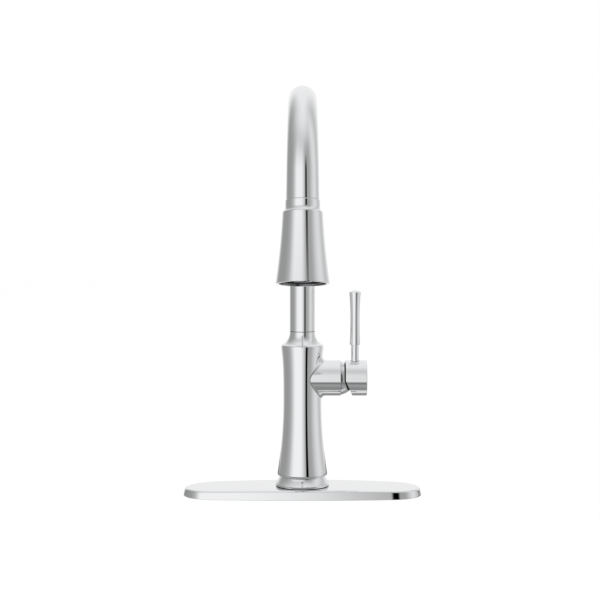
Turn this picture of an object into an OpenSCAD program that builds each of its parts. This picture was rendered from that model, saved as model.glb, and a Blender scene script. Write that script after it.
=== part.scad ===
// Pull-down kitchen faucet on a three-hole deck plate, with a side lever and a docking spray head.
// The origin is on the deck at the body's axis. +Z is up, -Y is towards the sink bowl, +X is the handle's side.

/* [Deck plate] */
// Length of the deck plate
plate_length = 254; // [220:1:280]
// Depth of the deck plate at its foot
plate_depth = 68; // [62:1:76]
// Height of the deck plate
plate_height = 10.4; // [8:0.1:14]
// Radius with which each long side turns in towards the round end
plate_turn_r = 75; // [50:1:100]
// How far, in degrees, the bowed long side has turned where that radius begins
plate_lean = 4.8; // [3:0.1:6]
// How much lower the plate's top is at its ends than in the middle
plate_arch = 2.2; // [0.5:0.1:3]
// Wall of the deck plate
plate_wall = 1.6; // [1:0.1:2.5]

/* [Body] */
// Height of the body's top edge above the deck
body_top = 160.8; // [140:0.1:190]
// Radius of the body's narrowest place
waist_r = 20.35; // [19.8:0.05:23]
// Radius of the foot of the body
foot_r = 26.43; // [24.5:0.1:29]
// Radius of the shoulder at the body's top
shoulder_r = 22.4; // [21.5:0.1:25]
// Inner radius of the body
body_bore_r = 17.2; // [17:0.05:18]
// Height of the base ring above the plate
ring_height = 10.1; // [7:0.1:14]
// Largest radius of the base ring
ring_r = 28.8; // [26.5:0.1:31]

/* [Valve and handle] */
// Height of the valve's axis above the deck
valve_z = 125.5; // [110:0.5:135]
// Radius of the side arm and of the handle's hub
arm_r = 18.8; // [18.6:0.1:21]
// Distance from the body's axis to the end of the side arm
arm_length = 41; // [39:0.5:48]
// Radius of the dome that the hub tilts over
dome_r = 18.1; // [17.6:0.1:18.2]
// Gap between the dome and the hub
dome_gap = 1; // [0.6:0.1:1.4]
// Length of the handle's hub
hub_length = 22.9; // [20:0.1:30]
// Radius of the valve cartridge
cartridge_r = 14; // [13.5:0.1:14.2]
// Radius of the lever's stem
stem_r = 4.1; // [3.6:0.1:5]
// Height of the foot of the lever's grip above the deck
grip_foot_z = 161; // [155:0.5:170]
// Height of the lever's tip above the deck
lever_top_z = 219.4; // [190:0.1:260]
// Radius of the foot of the lever's grip
grip_foot_r = 5.6; // [5:0.1:7]
// Radius of the grip's waist
grip_waist_r = 4.9; // [4.5:0.1:6]
// Radius of the grip near its tip
grip_tip_r = 6.25; // [5.5:0.05:8]

/* [Spout] */
// Radius of the spout's tube where it rises from the body
spout_r = 13.4; // [13:0.1:15]
// Wall of the spout's tube
spout_wall = 1.2; // [1:0.1:1.3]
// Height of the seam between the neck collar and the spout
swivel_seam_z = 175.5; // [172:0.5:195]
// Height of the centre of the spout's bend
bend_z = 324.4; // [260:0.2:380]
// Radius of the spout's bend, at the middle of the tube
bend_r = 88.4; // [75:0.2:110]
// Angle that the spout's bend turns through, in degrees
bend_angle = 171; // [165:1:175]
// Length of the straight end of the spout
spout_end = 26.7; // [24:0.1:40]
// Radius of the spout's tube at its end
spout_end_r = 15.6; // [15.2:0.1:16.5]

/* [Spray head] */
// Length of the spray head from the seam to the rim
head_length = 78; // [72:1:100]
// Radius of the spray head's neck
head_neck_r = 16.3; // [16:0.1:17.5]
// Radius of the spray head's shoulder
head_shoulder_r = 18.9; // [18.4:0.1:21]
// Radius of the spray head's rim
head_rim_r = 25.2; // [24.2:0.1:29]
// Wall of the spray head's shell
head_wall = 1.8; // [1.4:0.1:2.2]
// Radius of the spray hose
hose_r = 6; // [5.4:0.1:6]
// Angle that the mode rocker turns through, in degrees
rocker_angle = 10; // [6:1:12]

/* [Shank] */
// Radius of the threaded shank below the deck
shank_r = 16.5; // [16.3:0.1:16.8]
// Length of the threaded shank below the deck
shank_length = 45; // [35:1:60]
// Radius of the hole through the shank
shank_bore_r = 14.3; // [14.2:0.05:14.4]
// Radius of the supply and outlet ports
port_r = 4; // [3.5:0.1:4]

/* [Fits] */
// Radial gap of a shaft that turns in its hole
running = 0.05; // [0.02:0.01:0.09]
// Gap between pieces that stay still beside each other
seat = 0.05; // [0.02:0.01:0.1]
// Gap between pieces that pass each other
pass = 0.3; // [0.2:0.05:0.4]

/* [Hidden] */
$fn = 96;
fine = 0.01;

chrome = [0.86, 0.87, 0.88];
brass = [0.80, 0.66, 0.36];
steel = [0.62, 0.63, 0.65];
rubber = [0.10, 0.10, 0.11];
dark_plastic = [0.13, 0.13, 0.14];
pale_plastic = [0.90, 0.90, 0.88];
grey_plastic = [0.55, 0.56, 0.58];
ceramic = [0.96, 0.95, 0.92];

// --- points of a profile ---

// Points of an arc about (cx, cy) from angle a to angle b
function arc(cx, cy, r, a, b, n = 12) =
    [for (i = [0:n]) let (t = a + (b - a) * i / n) [cx + r * cos(t), cy + r * sin(t)]];

// A value that runs from a to b in n steps
function steps(a, b, n) = [for (i = [0:n]) a + (b - a) * i / n];

// --- deck plate ---

plate_hole_r = shank_r + 1;
// Inset of the plate's edge at each height: an upright foot, a sloping side, and a round to the flat top
edge_slope = 1.2;
edge_round = 3.2;
round_from = plate_height - edge_round;
edge_levels = concat(
    [[0, 0], [round_from * 0.15, 0.1], [round_from, edge_slope]],
    [for (t = [18:18:90])
        [round_from + edge_round * sin(t), edge_slope + edge_round * (1 - cos(t))]]
);

inner_levels = concat(
    [[-1, 0]],
    [for (level = edge_levels) if (level[0] > plate_wall + 1) [level[0] - plate_wall, level[1]]]
);

// Each quarter of the plate's outline is three arcs that run on smoothly: the long side's, one that turns
// in towards the end, and the round end's
end_lean = 16;
end_share = 1 - sin(end_lean);
end_base = plate_depth / 2 - plate_turn_r * cos(plate_lean) - 0.1;
side_r =
    (plate_length / 2 + plate_turn_r * (sin(plate_lean) - sin(end_lean))
        - end_share * (plate_turn_r + end_base / cos(end_lean)))
    / (sin(plate_lean) - end_share * (1 - cos(plate_lean)) / cos(end_lean));
side_y = plate_depth / 2 - side_r;
turn_x = (side_r - plate_turn_r) * sin(plate_lean);
turn_y = side_y + (side_r - plate_turn_r) * cos(plate_lean);
end_r = plate_turn_r + (end_base - side_r * (1 - cos(plate_lean))) / cos(end_lean);
end_x = turn_x + (plate_turn_r - end_r) * sin(end_lean);
end_y = turn_y + (plate_turn_r - end_r) * cos(end_lean);

// Stations along the plate's rear side from right to left: the x and y of an arc's centre, its radius, an angle
plate_stations = concat(
    [for (a = steps(0, 90 - end_lean, 12)) [end_x, end_y, end_r, a]],
    [for (a = steps(90 - end_lean, 90 - plate_lean, 4)) [turn_x, turn_y, plate_turn_r, a]],
    [for (i = [1:15]) [0, side_y, side_r, 90 - plate_lean + plate_lean * i / 8]],
    [for (a = steps(90 + plate_lean, 90 + end_lean, 4)) [-turn_x, turn_y, plate_turn_r, a]],
    [for (a = steps(90 + end_lean, 180, 12)) [-end_x, end_y, end_r, a]]
);

// A point over a station, drawn in by an inset, at a height that falls off towards the plate's ends
function plate_point(station, z, inset, side) =
    let (
        r = station[2] - inset,
        x = station[0] + r * cos(station[3]),
        y = station[1] + r * sin(station[3]),
        share = 2 * x / plate_length
    )
    [x, side * y, z * (1 - plate_arch / plate_height * share * share)];

function plate_ring(level, inset) =
    let (n = len(plate_stations))
    concat(
        [for (i = [0:n - 1]) plate_point(plate_stations[i], level[0], level[1] + inset, 1)],
        [for (i = [0:n - 1]) plate_point(plate_stations[n - 1 - i], level[0], level[1] + inset, -1)]
    );

// The plate's outline, drawn in by an inset all round
module plate_outline(inset = 0) {
    polygon([for (point = plate_ring([0, 0], inset)) [point[0], point[1]]]);
}

// Rings of the outline one over the other, closed below and above by strips from the rear side to the front
module plate_solid(levels, inset = 0) {
    points = [for (level = levels) each plate_ring(level, inset)];
    n = len(plate_stations);
    count = 2 * n;
    top = (len(levels) - 1) * count;
    sides = [for (k = [0:len(levels) - 2], j = [0:count - 1])
        let (
            a = k * count + j,
            b = k * count + (j + 1) % count
        )
        each [[a, a + count, b + count], [a, b + count, b]]];
    caps = [for (i = [0:n - 2])
        let (
            rear = i,
            front = count - 1 - i
        )
        each [
            [top + rear, top + front, top + front - 1],
            [top + rear, top + front - 1, top + rear + 1],
            [rear, rear + 1, front - 1],
            [rear, front - 1, front]
        ]];
    polyhedron(points, concat(sides, caps));
}

module deck_plate() {
    color(chrome)
        difference() {
            plate_solid(edge_levels);
            plate_solid(inner_levels, plate_wall);
            translate([0, 0, -1])
                cylinder(h = plate_height + 2, r = plate_hole_r);
        }
}

under_height = (plate_height - plate_wall - 0.6) * (1 - plate_arch / plate_height);
under_inset = plate_wall + edge_slope + 0.4;
seal_depth = 2;
seal_width = 3;

// Moulded base under the plate, open over the sink's two outer holes
module under_plate() {
    color(dark_plastic)
        difference() {
            linear_extrude(under_height - edge_round * 0.7)
                plate_outline(under_inset);
            translate([0, 0, -1])
                cylinder(h = under_height, r = plate_hole_r);
            for (side = [-1, 1]) {
                translate([side * plate_length * 0.4, 0, -1])
                    cylinder(h = under_height, r = 11);
                translate([side * plate_length * 0.22, 0, -1])
                    linear_extrude(under_height)
                        square([plate_length * 0.2, plate_depth * 0.5], center = true);
            }
            seal_groove(0, 1);
        }
}

// Ring all round under the plate, in from its edge
module seal_groove(gap, below) {
    translate([0, 0, -below])
        linear_extrude(seal_depth + below - gap)
            difference() {
                plate_outline(under_inset + 2 + gap);
                plate_outline(under_inset + 2 + seal_width - gap);
            }
}

module deck_seal() {
    color(rubber)
        seal_groove(seat, 0);
}

// --- base ring and its seal ---

flange = 0.5;
ring_z = plate_height + flange;
ring_top = plate_height + ring_height;
ring_band = 2.2;
ring_neck_r = foot_r - 2.8;

// Upright band at the foot, then a shallow cove up to the neck under the body
module base_ring() {
    rise = ring_top - ring_z - ring_band;
    run = ring_r - 0.3 - ring_neck_r;
    color(chrome)
        difference() {
            rotate_extrude()
                polygon(concat(
                    [[0, ring_z], [ring_r, ring_z], [ring_r, ring_z + ring_band - 0.3]],
                    [for (t = steps(0, 1, 10))
                        [ring_r - 0.3 - run * (t + 0.45 * t * (1 - t)),
                         ring_z + ring_band + rise * t]],
                    [[0, ring_top]]
                ));
            translate([0, 0, plate_height - 1])
                cylinder(h = ring_height + 2, r = plate_hole_r);
            base_seal_shape(seat);
        }
}

// A ridge that sits in the ring's groove, on a flange that shows as a thin line under the ring
module base_seal_shape(gap = 0) {
    inner = plate_hole_r + 2;
    rotate_extrude()
        polygon([
            [inner - gap, plate_height],
            [ring_r - 0.6, plate_height],
            [ring_r - 0.6, ring_z],
            [inner + 3.4 + gap, ring_z],
            [inner + 3.4 + gap, ring_z + 1.6 + gap],
            [inner - gap, ring_z + 1.6 + gap]
        ]);
}

module base_seal() {
    color(rubber)
        base_seal_shape();
}

// --- shank ---

shank_top = 34;
shank_upper_r = body_bore_r - seat;

module mounting_shank() {
    color(brass)
        difference() {
            union() {
                translate([0, 0, -shank_length])
                    cylinder(h = shank_length, r = shank_r);
                cylinder(h = ring_top, r = plate_hole_r - pass);
                cylinder(h = shank_top, r = shank_upper_r);
            }
            translate([0, 0, -shank_length - 1])
                cylinder(h = shank_length + shank_top + 2, r = shank_bore_r);
            translate([0, 0, -shank_length])
                cylinder(h = 2, r1 = shank_bore_r + 1, r2 = shank_bore_r - 1);
        }
}

// --- body ---

body_foot = ring_top + 0.4;
foot_round = 1.6;
foot_rise = 6.86765;
waist_low = 103;
waist_high = 108;
lip = 2.1;

// Outer radius of the body at a height: a flared foot, a waist, and a quicker flare to the shoulder
function body_radius(z) =
    let (
        low = body_foot + foot_round,
        high = body_top - lip,
        w_low = waist_low * valve_z / 125.5,
        w_high = waist_high * valve_z / 125.5
    )
    z < w_low ? waist_r + (foot_r - waist_r) * pow((w_low - z) / (w_low - low), 2)
    : z > w_high ? waist_r + (shoulder_r - waist_r) * pow((z - w_high) / (high - w_high), 3)
    : waist_r;

// Outline of the body from its rounded foot to its chamfered shoulder
function body_profile() = concat(
    [[0, body_foot], [foot_r - foot_round, body_foot]],
    arc(foot_r - foot_round, body_foot + foot_round, foot_round, -90, -8, 8),
    [for (z = steps(body_foot + foot_rise, body_top - lip, 33)) [body_radius(z), z]],
    [[shoulder_r - 0.6, body_top], [0, body_top]]
);

module on_valve() {
    translate([0, 0, valve_z])
        rotate([0, 90, 0])
            children();
}

cartridge_foot = 13.4;
cartridge_shoulder = 29.7;
cartridge_bore_r = cartridge_r + pass;
nut_bore_r = min(16.6, arm_r - 2);

module faucet_body() {
    color(chrome)
        difference() {
            union() {
                rotate_extrude()
                    polygon(body_profile());
                on_valve() {
                    cylinder(h = arm_length - 0.6, r = arm_r);
                    translate([0, 0, arm_length - 0.6])
                        cylinder(h = 0.6, r1 = arm_r, r2 = arm_r - 0.6);
                }
                arm_fillet();
            }
            translate([0, 0, body_foot - 1])
                cylinder(h = body_top - body_foot + 2, r = body_bore_r);
            on_valve() {
                translate([0, 0, cartridge_foot - 6])
                    cylinder(h = arm_length, r = cartridge_bore_r);
                translate([0, 0, cartridge_shoulder])
                    cylinder(h = arm_length, r = nut_bore_r);
            }
        }
}

// Rolling-ball fillet where the arm meets the body: sections of a ball that touches both, all round the arm
fillet_r = 4.2;
fillet_sections = 40;
fillet_arc = 4;
fillet_sink = 1.4;

function unit(v) = v / norm(v);

// One section at an angle round the arm: the ball's arc from the arm to the body, then two points sunk in the metal
function fillet_section(a) =
    let (
        reach = arm_r + fillet_r,
        y = reach * sin(a),
        z = valve_z + reach * cos(a),
        body_r = body_radius(z),
        x = sqrt(pow(body_r + fillet_r, 2) - y * y),
        ball = [x, y, z],
        to_arm = [0, -sin(a), -cos(a)],
        to_body = unit([-x, -y, 0]),
        turn = acos(to_arm * to_body),
        past = min(9, turn * 0.3),
        way = unit(to_body - to_arm * (to_arm * to_body)),
        ends = [for (i = [0:fillet_arc])
            let (t = -past + (turn + 2 * past) * i / fillet_arc)
            ball + fillet_r * (to_arm * cos(t) + way * sin(t))]
    )
    concat(ends, [
        ball + fillet_r * (to_arm * cos(turn + past) + way * sin(turn + past)) + to_body * fillet_sink,
        ball + (to_arm + to_body) * (fillet_r + fillet_sink),
        ball + fillet_r * (to_arm * cos(-past) + way * sin(-past)) + to_arm * fillet_sink
    ]);

module arm_fillet() {
    sections = [for (i = [0:fillet_sections - 1]) fillet_section(360 * i / fillet_sections)];
    count = len(sections[0]);
    points = [for (s = sections) each s];
    faces = [for (i = [0:fillet_sections - 1], j = [0:count - 1])
        let (
            next = (i + 1) % fillet_sections,
            k = (j + 1) % count
        )
        each [
            [i * count + j, next * count + k, next * count + j],
            [i * count + j, i * count + k, next * count + k]
        ]];
    polyhedron(points, faces);
}

// --- waterway core inside the body ---

core_foot = shank_top + 0.4;
core_top = valve_z + cartridge_r + 0.5;
core_r = body_bore_r - seat;
supply_x = 8.4;
supply_y = 3.8;
outlet_y = 9.6;
port_depth = 12;
gallery_r = 2;
seat_rise = 7.5;
hose_side = -5.9;
hose_way_r = hose_r + 1;

// Ports as [x, y, height of the cross gallery over the valve axis]
ports = [[supply_x, supply_y, -seat_rise], [-supply_x, supply_y, seat_rise], [0, outlet_y, 0]];

module waterway_core() {
    color(pale_plastic)
        difference() {
            translate([0, 0, core_foot])
                cylinder(h = core_top - core_foot, r = core_r);
            translate([0, hose_side, core_foot - 1])
                cylinder(h = core_top, r = hose_way_r);
            on_valve()
                translate([0, 0, cartridge_foot - 0.8])
                    cylinder(h = 20, r = cartridge_bore_r);
            for (p = ports) {
                translate([p[0], p[1], core_foot - 1])
                    cylinder(h = port_depth + 1, r = port_r);
                translate([p[0], p[1], core_foot])
                    cylinder(h = valve_z + p[2] - core_foot, r = gallery_r);
                translate([p[0], p[1], valve_z + p[2]])
                    rotate([0, 90, 0])
                        cylinder(h = 20, r = gallery_r);
            }
        }
}

// --- valve cartridge ---

module port_rings(h, r) {
    for (p = ports)
        translate([-p[2], p[1], 0])
            cylinder(h = h, r = r, $fn = 48);
}

module cartridge_seals() {
    color(rubber)
        on_valve()
            translate([0, 0, cartridge_foot - 0.8])
                difference() {
                    port_rings(0.8 - seat, 3.3);
                    translate([0, 0, -1])
                        port_rings(3, 2.1);
                }
}

chamber_r = cartridge_r - 2;
chamber_foot = cartridge_foot + 3;
chamber_top = 30;
carrier_r = 7.2;
flange_r = nut_bore_r - 0.3;

module cartridge_housing() {
    color(grey_plastic)
        on_valve()
            difference() {
                union() {
                    translate([0, 0, cartridge_foot])
                        cylinder(h = 19.4, r = cartridge_r);
                    translate([0, 0, cartridge_shoulder + seat])
                        cylinder(h = 3.1, r = flange_r);
                    translate([0, 0, cartridge_foot])
                        cylinder(h = 37 - cartridge_foot, r = 10.5);
                }
                translate([0, 0, chamber_foot])
                    cylinder(h = chamber_top - chamber_foot, r = chamber_r);
                translate([0, 0, chamber_foot])
                    cylinder(h = 30, r = carrier_r + running);
                translate([0, 0, cartridge_foot - 1])
                    port_rings(6, 1.8);
            }
}

fixed_top = chamber_foot + 3.4;

module fixed_disc() {
    color(ceramic)
        on_valve()
            difference() {
                translate([0, 0, chamber_foot + seat])
                    cylinder(h = fixed_top - chamber_foot - seat, r = chamber_r - seat);
                translate([0, 0, chamber_foot - 1])
                    port_rings(6, 1.8);
            }
}

disc_gap = 0.1;
moving_r = 8;
moving_foot = fixed_top + disc_gap;
moving_top = moving_foot + 3.2;
disc_rest = 2.6;
guide_top = moving_top + 3;
ball_r = 2;
pivot_h = 38;
ball_h = moving_top + 2.4;

// The ceramic disc starts below the valve's axis and slides up as the lever tilts outwards
module moving_disc() {
    color(ceramic)
        on_valve()
            translate([disc_rest, 0, moving_foot])
                difference() {
                    cylinder(h = 3.2, r = moving_r);
                    translate([0, 0, -1])
                        linear_extrude(2.6)
                            polygon([[-5, -1], [-5, 6], [3, 6], [5, 3], [5, -1]]);
                }
}

module disc_guide() {
    color(pale_plastic)
        on_valve()
            difference() {
                translate([disc_rest, 0, moving_top + seat])
                    cylinder(h = guide_top - moving_top - seat, r = moving_r);
                translate([0, 0, moving_top])
                    cylinder(h = 6, r = ball_r + pass);
            }
}

carrier_foot = guide_top + pass;
carrier_top = 40;

// Turning sleeve that carries the tilt pin, slotted so that the spindle can rock in it
module stem_carrier() {
    color(pale_plastic)
        on_valve()
            difference() {
                union() {
                    translate([0, 0, carrier_foot])
                        cylinder(h = chamber_top - pass - carrier_foot, r = chamber_r - 0.5);
                    translate([0, 0, carrier_foot])
                        cylinder(h = carrier_top - carrier_foot, r = carrier_r);
                }
                translate([-6.1, -2.6, carrier_foot - 1])
                    cube([9.3, 5.2, pivot_h - carrier_foot + 1]);
                translate([-7.6, -2.6, carrier_foot - 1])
                    cube([9.3, 5.2, chamber_top - carrier_foot + 1]);
                translate([-3.9, -4.1, pivot_h - 2.5])
                    cube([9.1, 8.2, 10]);
                translate([0, 0, pivot_h])
                    rotate([90, 0, 0])
                        cylinder(h = 30, r = pin_r + seat, center = true);
            }
}

pin_r = 1.3;
pin_length = 2 * sqrt(carrier_r * carrier_r - pin_r * pin_r) - 0.4;

module tilt_pin() {
    color(steel)
        on_valve()
            translate([0, 0, pivot_h])
                rotate([90, 0, 0])
                    cylinder(h = pin_length, r = pin_r, center = true);
}

// --- bonnet nut and dome ---

bonnet_foot = cartridge_shoulder + seat + 3.1 + seat;
bonnet_neck_r = 14.4;
dome_foot = arm_length + 0.15;

module bonnet_nut() {
    color(brass)
        on_valve()
            difference() {
                union() {
                    translate([0, 0, bonnet_foot])
                        cylinder(h = arm_length - 0.4 - bonnet_foot, r = nut_bore_r - seat);
                    translate([0, 0, bonnet_foot])
                        cylinder(h = arm_length + 3.2 - bonnet_foot, r = bonnet_neck_r);
                }
                translate([0, 0, bonnet_foot - 1])
                    cylinder(h = 30, r = 11);
            }
}

dome_wall = 1.5;
dome_opening_r = 11.2;

// Ball-shaped cap over the cartridge: the hub rides round it when the lever tilts
module dome_cap() {
    color(chrome)
        on_valve()
            difference() {
                translate([0, 0, pivot_h])
                    sphere(dome_r);
                translate([0, 0, pivot_h])
                    sphere(dome_r - dome_wall);
                translate([0, 0, dome_foot - 60])
                    cylinder(h = 60, r = 40);
                translate([0, 0, pivot_h + 7])
                    cylinder(h = 20, r = dome_opening_r);
            }
    color(chrome)
        on_valve()
            difference() {
                translate([0, 0, dome_foot])
                    cylinder(h = 1.8, r = dome_r - dome_wall);
                translate([0, 0, dome_foot - 1])
                    cylinder(h = 10, r = bonnet_neck_r + seat);
            }
}

// --- handle ---

hub_foot = arm_length + 4.6;
hub_end = hub_foot + hub_length;
hub_cavity_r = dome_r + dome_gap;
lever_h = 56;
dimple_r = 6.3;
spindle_r = 3.6;
spindle_end = hub_end - 4;
screw_h = hub_end - 7.5;
back_cut = 23.5;
back_drop = 1.5;

module valve_spindle() {
    color(steel)
        on_valve()
            difference() {
                union() {
                    translate([0, 0, ball_h])
                        sphere(ball_r);
                    translate([0, 0, ball_h])
                        cylinder(h = 10, r = 1.6);
                    translate([-2.5, -2.3, ball_h + 6])
                        cube([5, 4.6, 12]);
                    translate([0, 0, pivot_h + 3])
                        cylinder(h = spindle_end - pivot_h - 3, r = spindle_r);
                }
                translate([0, 0, pivot_h])
                    rotate([90, 0, 0])
                        cylinder(h = 30, r = pin_r + running, center = true);
            }
}

// Cup that tilts over the dome: its back is upright above the axis and raked below it, to clear the arm
module handle_hub() {
    color(chrome)
        on_valve()
            difference() {
                union() {
                    translate([0, 0, hub_foot])
                        cylinder(h = hub_length - 0.5, r = arm_r);
                    translate([0, 0, hub_end - 0.5])
                        cylinder(h = 0.5, r1 = arm_r, r2 = arm_r - 0.5);
                }
                translate([0, 0, pivot_h])
                    sphere(hub_cavity_r);
                translate([back_drop, 0, hub_foot])
                    rotate([0, 90 - back_cut, 0])
                        translate([0, -30, 0])
                            cube([30, 60, 40]);
                translate([0, 0, hub_foot])
                    cylinder(h = spindle_end - hub_foot + 0.2, r = spindle_r + seat);
                translate([0, 0, screw_h])
                    rotate([0, 90, 0])
                        cylinder(h = 30, r = screw_r + seat);
                translate([0, 0, lever_h])
                    rotate([0, -90, 0]) {
                        translate([0, 0, lever_root])
                            cylinder(h = 30, r = lever_thread_r + seat);
                        translate([0, 0, arm_r - 2.6])
                            cylinder(h = 4, r1 = stem_r + 0.3, r2 = dimple_r + 1.1);
                    }
            }
}

screw_r = 2.5;

module hub_screw() {
    color(steel)
        on_valve()
            translate([spindle_r + seat, 0, screw_h])
                rotate([0, 90, 0])
                    difference() {
                        cylinder(h = 10, r = screw_r);
                        translate([0, 0, 7])
                            cylinder(h = 4, r = 1.4, $fn = 6);
                    }
}

lever_root = 12;
lever_thread_r = 2.9;
grip_spigot_r = 2.8;
grip_spigot = 12;

module on_lever() {
    translate([lever_h, 0, 0])
        children();
}

module lever_stem() {
    color(chrome)
        on_lever() {
            translate([0, 0, valve_z + lever_root + 0.2])
                cylinder(h = 5.6, r = lever_thread_r);
            translate([0, 0, valve_z + arm_r - 2.4])
                cylinder(h = grip_foot_z - valve_z - arm_r + 2.4, r = stem_r);
            translate([0, 0, grip_foot_z - 1])
                cylinder(h = grip_spigot + 1, r = grip_spigot_r);
        }
}

grip_cap = 2.4;

// Radius of the grip at a share of its length: a waist a little under the middle, then a flare to the tip
function grip_radius(t) =
    t < 0.48 ? grip_waist_r + (grip_foot_r - grip_waist_r) * pow(1 - t / 0.48, 2)
    : grip_waist_r + (grip_tip_r - grip_waist_r) * pow((t - 0.48) / 0.52, 2);

module lever_grip() {
    rise = lever_top_z - grip_cap - grip_foot_z;
    color(chrome)
        on_lever()
            difference() {
                translate([0, 0, grip_foot_z + seat])
                    rotate_extrude()
                        polygon(concat(
                            [[0, 0], [grip_foot_r - 0.4, 0], [grip_foot_r, 0.4]],
                            [for (t = steps(0.03, 1, 24)) [grip_radius(t), rise * t]],
                            [for (a = [30:15:90])
                                [grip_tip_r - 0.5 + 0.5 * cos(a), rise + 0.5 * sin(a)]],
                            [for (t = steps(0.2, 1, 6))
                                [(grip_tip_r - 0.5) * (1 - t), rise + 0.5 + (grip_cap - 0.5) * (1 - pow(max(0, 1 - t), 1.6))]]
                        ));
                translate([0, 0, grip_foot_z - 1])
                    cylinder(h = grip_spigot + 1.4, r = grip_spigot_r + seat);
            }
}

// --- neck collar and swivel ---

sleeve_r = 11.9;
sleeve_foot = body_top - 11.8;
collar_foot = body_top - 10.3;
bushing_seat_r = 14;
upper_seat = body_top + 1.2;
clip_foot = collar_foot + 1.4;

// Cavetto from the body's shoulder up to the spout's own radius
module neck_collar() {
    top = swivel_seam_z - pass / 2;
    foot = shoulder_r - 0.6;
    run = foot - spout_r;
    rise = top - body_top - 0.6;
    turn = 2 * atan(run / rise);
    sweep_r = rise / sin(turn);
    color(chrome)
        difference() {
            rotate_extrude()
                polygon(concat(
                    [[0, collar_foot], [body_bore_r - seat, collar_foot],
                     [body_bore_r - seat, body_top + fine], [foot, body_top + fine]],
                    arc(spout_r + sweep_r, top - 0.6, sweep_r, 180 + turn, 180, 14),
                    [[spout_r, top - 0.3], [spout_r - 0.3, top], [0, top]]
                ));
            translate([0, 0, collar_foot - 1])
                cylinder(h = 60, r = sleeve_r + pass);
            translate([0, 0, collar_foot - 1])
                cylinder(h = 8.4 + 1, r = bushing_seat_r);
            translate([0, 0, upper_seat])
                cylinder(h = 6, r = bushing_seat_r);
        }
}

module bushing(z, h) {
    translate([0, 0, z])
        difference() {
            cylinder(h = h, r = bushing_seat_r - seat);
            translate([0, 0, -1])
                cylinder(h = h + 2, r = sleeve_r + running);
            translate([bushing_seat_r, 0, h / 2])
                cube([bushing_seat_r * 1.2, 0.8, h + 1], center = true);
        }
}

module upper_bushing() {
    color(pale_plastic)
        bushing(upper_seat + seat, 6 - 2 * seat);
}

module lower_bushing() {
    color(pale_plastic)
        bushing(collar_foot + 3, 5.4 - seat);
}

module retaining_clip() {
    color(steel)
        translate([0, 0, clip_foot])
            difference() {
                cylinder(h = 1.2, r = bushing_seat_r - 0.5);
                translate([0, 0, -1])
                    cylinder(h = 4, r = sleeve_r - 0.6 + seat);
                translate([0, -2, -1])
                    cube([20, 4, 4]);
            }
}

// --- spout ---

spout_bore_r = spout_r - spout_wall;
straight_top = bend_z;
end_wall = 1.3;
end_bore_r = spout_end_r - end_wall;
dock_y = -bend_r + bend_r * cos(bend_angle) - spout_end * sin(180 - bend_angle);
dock_z = bend_z + bend_r * sin(bend_angle) - spout_end * cos(180 - bend_angle);
wand_tilt = 180 - bend_angle;

// The wand's own frame: its origin at the centre of the dock's seam, z along the spout's end, back up into the tube
module on_wand() {
    translate([0, dock_y, dock_z])
        rotate([-wand_tilt, 0, 0])
            children();
}

// The bend from angle a to angle b, as a solid of the given radius
module bend(r, a, b) {
    translate([0, -bend_r, bend_z])
        rotate([90, 0, 90])
            rotate_extrude(angle = b - a, start = a)
                translate([bend_r, 0])
                    circle(r);
}

taper_from = 90;
tube_sides = 48;
tube_edge = 0.4;
taper_arc = bend_r * (bend_angle - taper_from) * PI / 180;

// Radius of the tube at a length past the top of the bend
function taper_radius(s) = spout_r + (spout_end_r - spout_r) * max(0, s) / (taper_arc + spout_end);

// A ring of the tube at an angle round the bend, or at a length before its foot or past its end
function tube_ring(a, past, r) = [for (k = [0:tube_sides - 1])
    let (
        b = 360 * k / tube_sides,
        out = bend_r + r * cos(b)
    )
    [r * sin(b), -bend_r + out * cos(a) - past * sin(a), bend_z + out * sin(a) + past * cos(a)]];

// Outside from the swivel's seam to the dock, then inside all the way back, as one closed skin
module tube_skin() {
    foot = swivel_seam_z + pass / 2 - bend_z;
    tip = spout_end - pass / 2;
    wide = 1 / cos(180 / tube_sides);
    outer = concat(
        [[0, foot, spout_r - tube_edge], [0, foot + tube_edge, spout_r]],
        [for (a = steps(0, taper_from, 16)) [a, 0, spout_r]],
        [for (i = [1:16])
            [taper_from + (bend_angle - taper_from) * i / 16, 0, taper_radius(taper_arc * i / 16)]],
        [[bend_angle, tip - tube_edge, spout_end_r], [bend_angle, tip, spout_end_r - tube_edge]]
    );
    inner = concat(
        [[bend_angle, tip, end_bore_r * wide], [bend_angle, spout_end - dock_depth, end_bore_r * wide],
         [bend_angle, spout_end - dock_depth, spout_bore_r * wide]],
        [for (a = steps(bend_angle, 0, 26)) [a, 0, spout_bore_r * wide]],
        [[0, foot, spout_bore_r * wide]]
    );
    rings = [for (st = concat(outer, inner)) tube_ring(st[0], st[1], st[2])];
    count = len(rings);
    faces = [for (i = [0:count - 1], k = [0:tube_sides - 1])
        let (
            m = (k + 1) % tube_sides,
            low = i * tube_sides,
            high = ((i + 1) % count) * tube_sides
        )
        each [[low + k, low + m, high + m], [low + k, high + m, high + k]]];
    polyhedron([for (ring = rings) each ring], faces);
}

module spout_tube() {
    color(chrome)
        tube_skin();
}

module spout_sleeve() {
    color(brass)
        difference() {
            union() {
                translate([0, 0, sleeve_foot])
                    cylinder(h = swivel_seam_z + 20 - sleeve_foot, r = sleeve_r);
                translate([0, 0, swivel_seam_z + pass / 2])
                    cylinder(h = 20 - pass / 2, r = spout_bore_r - seat);
            }
            translate([0, 0, sleeve_foot - 1])
                cylinder(h = 60, r = sleeve_r - 1.5);
            translate([0, 0, clip_foot - seat])
                difference() {
                    cylinder(h = 1.2 + 2 * seat, r = sleeve_r + 1);
                    cylinder(h = 1.2 + 2 * seat, r = sleeve_r - 0.6);
                }
        }
}

dock_depth = 20;
plug_r = 10.5;
dock_bore_r = plug_r + 0.4;
magnet_r = 11.5;

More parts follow.
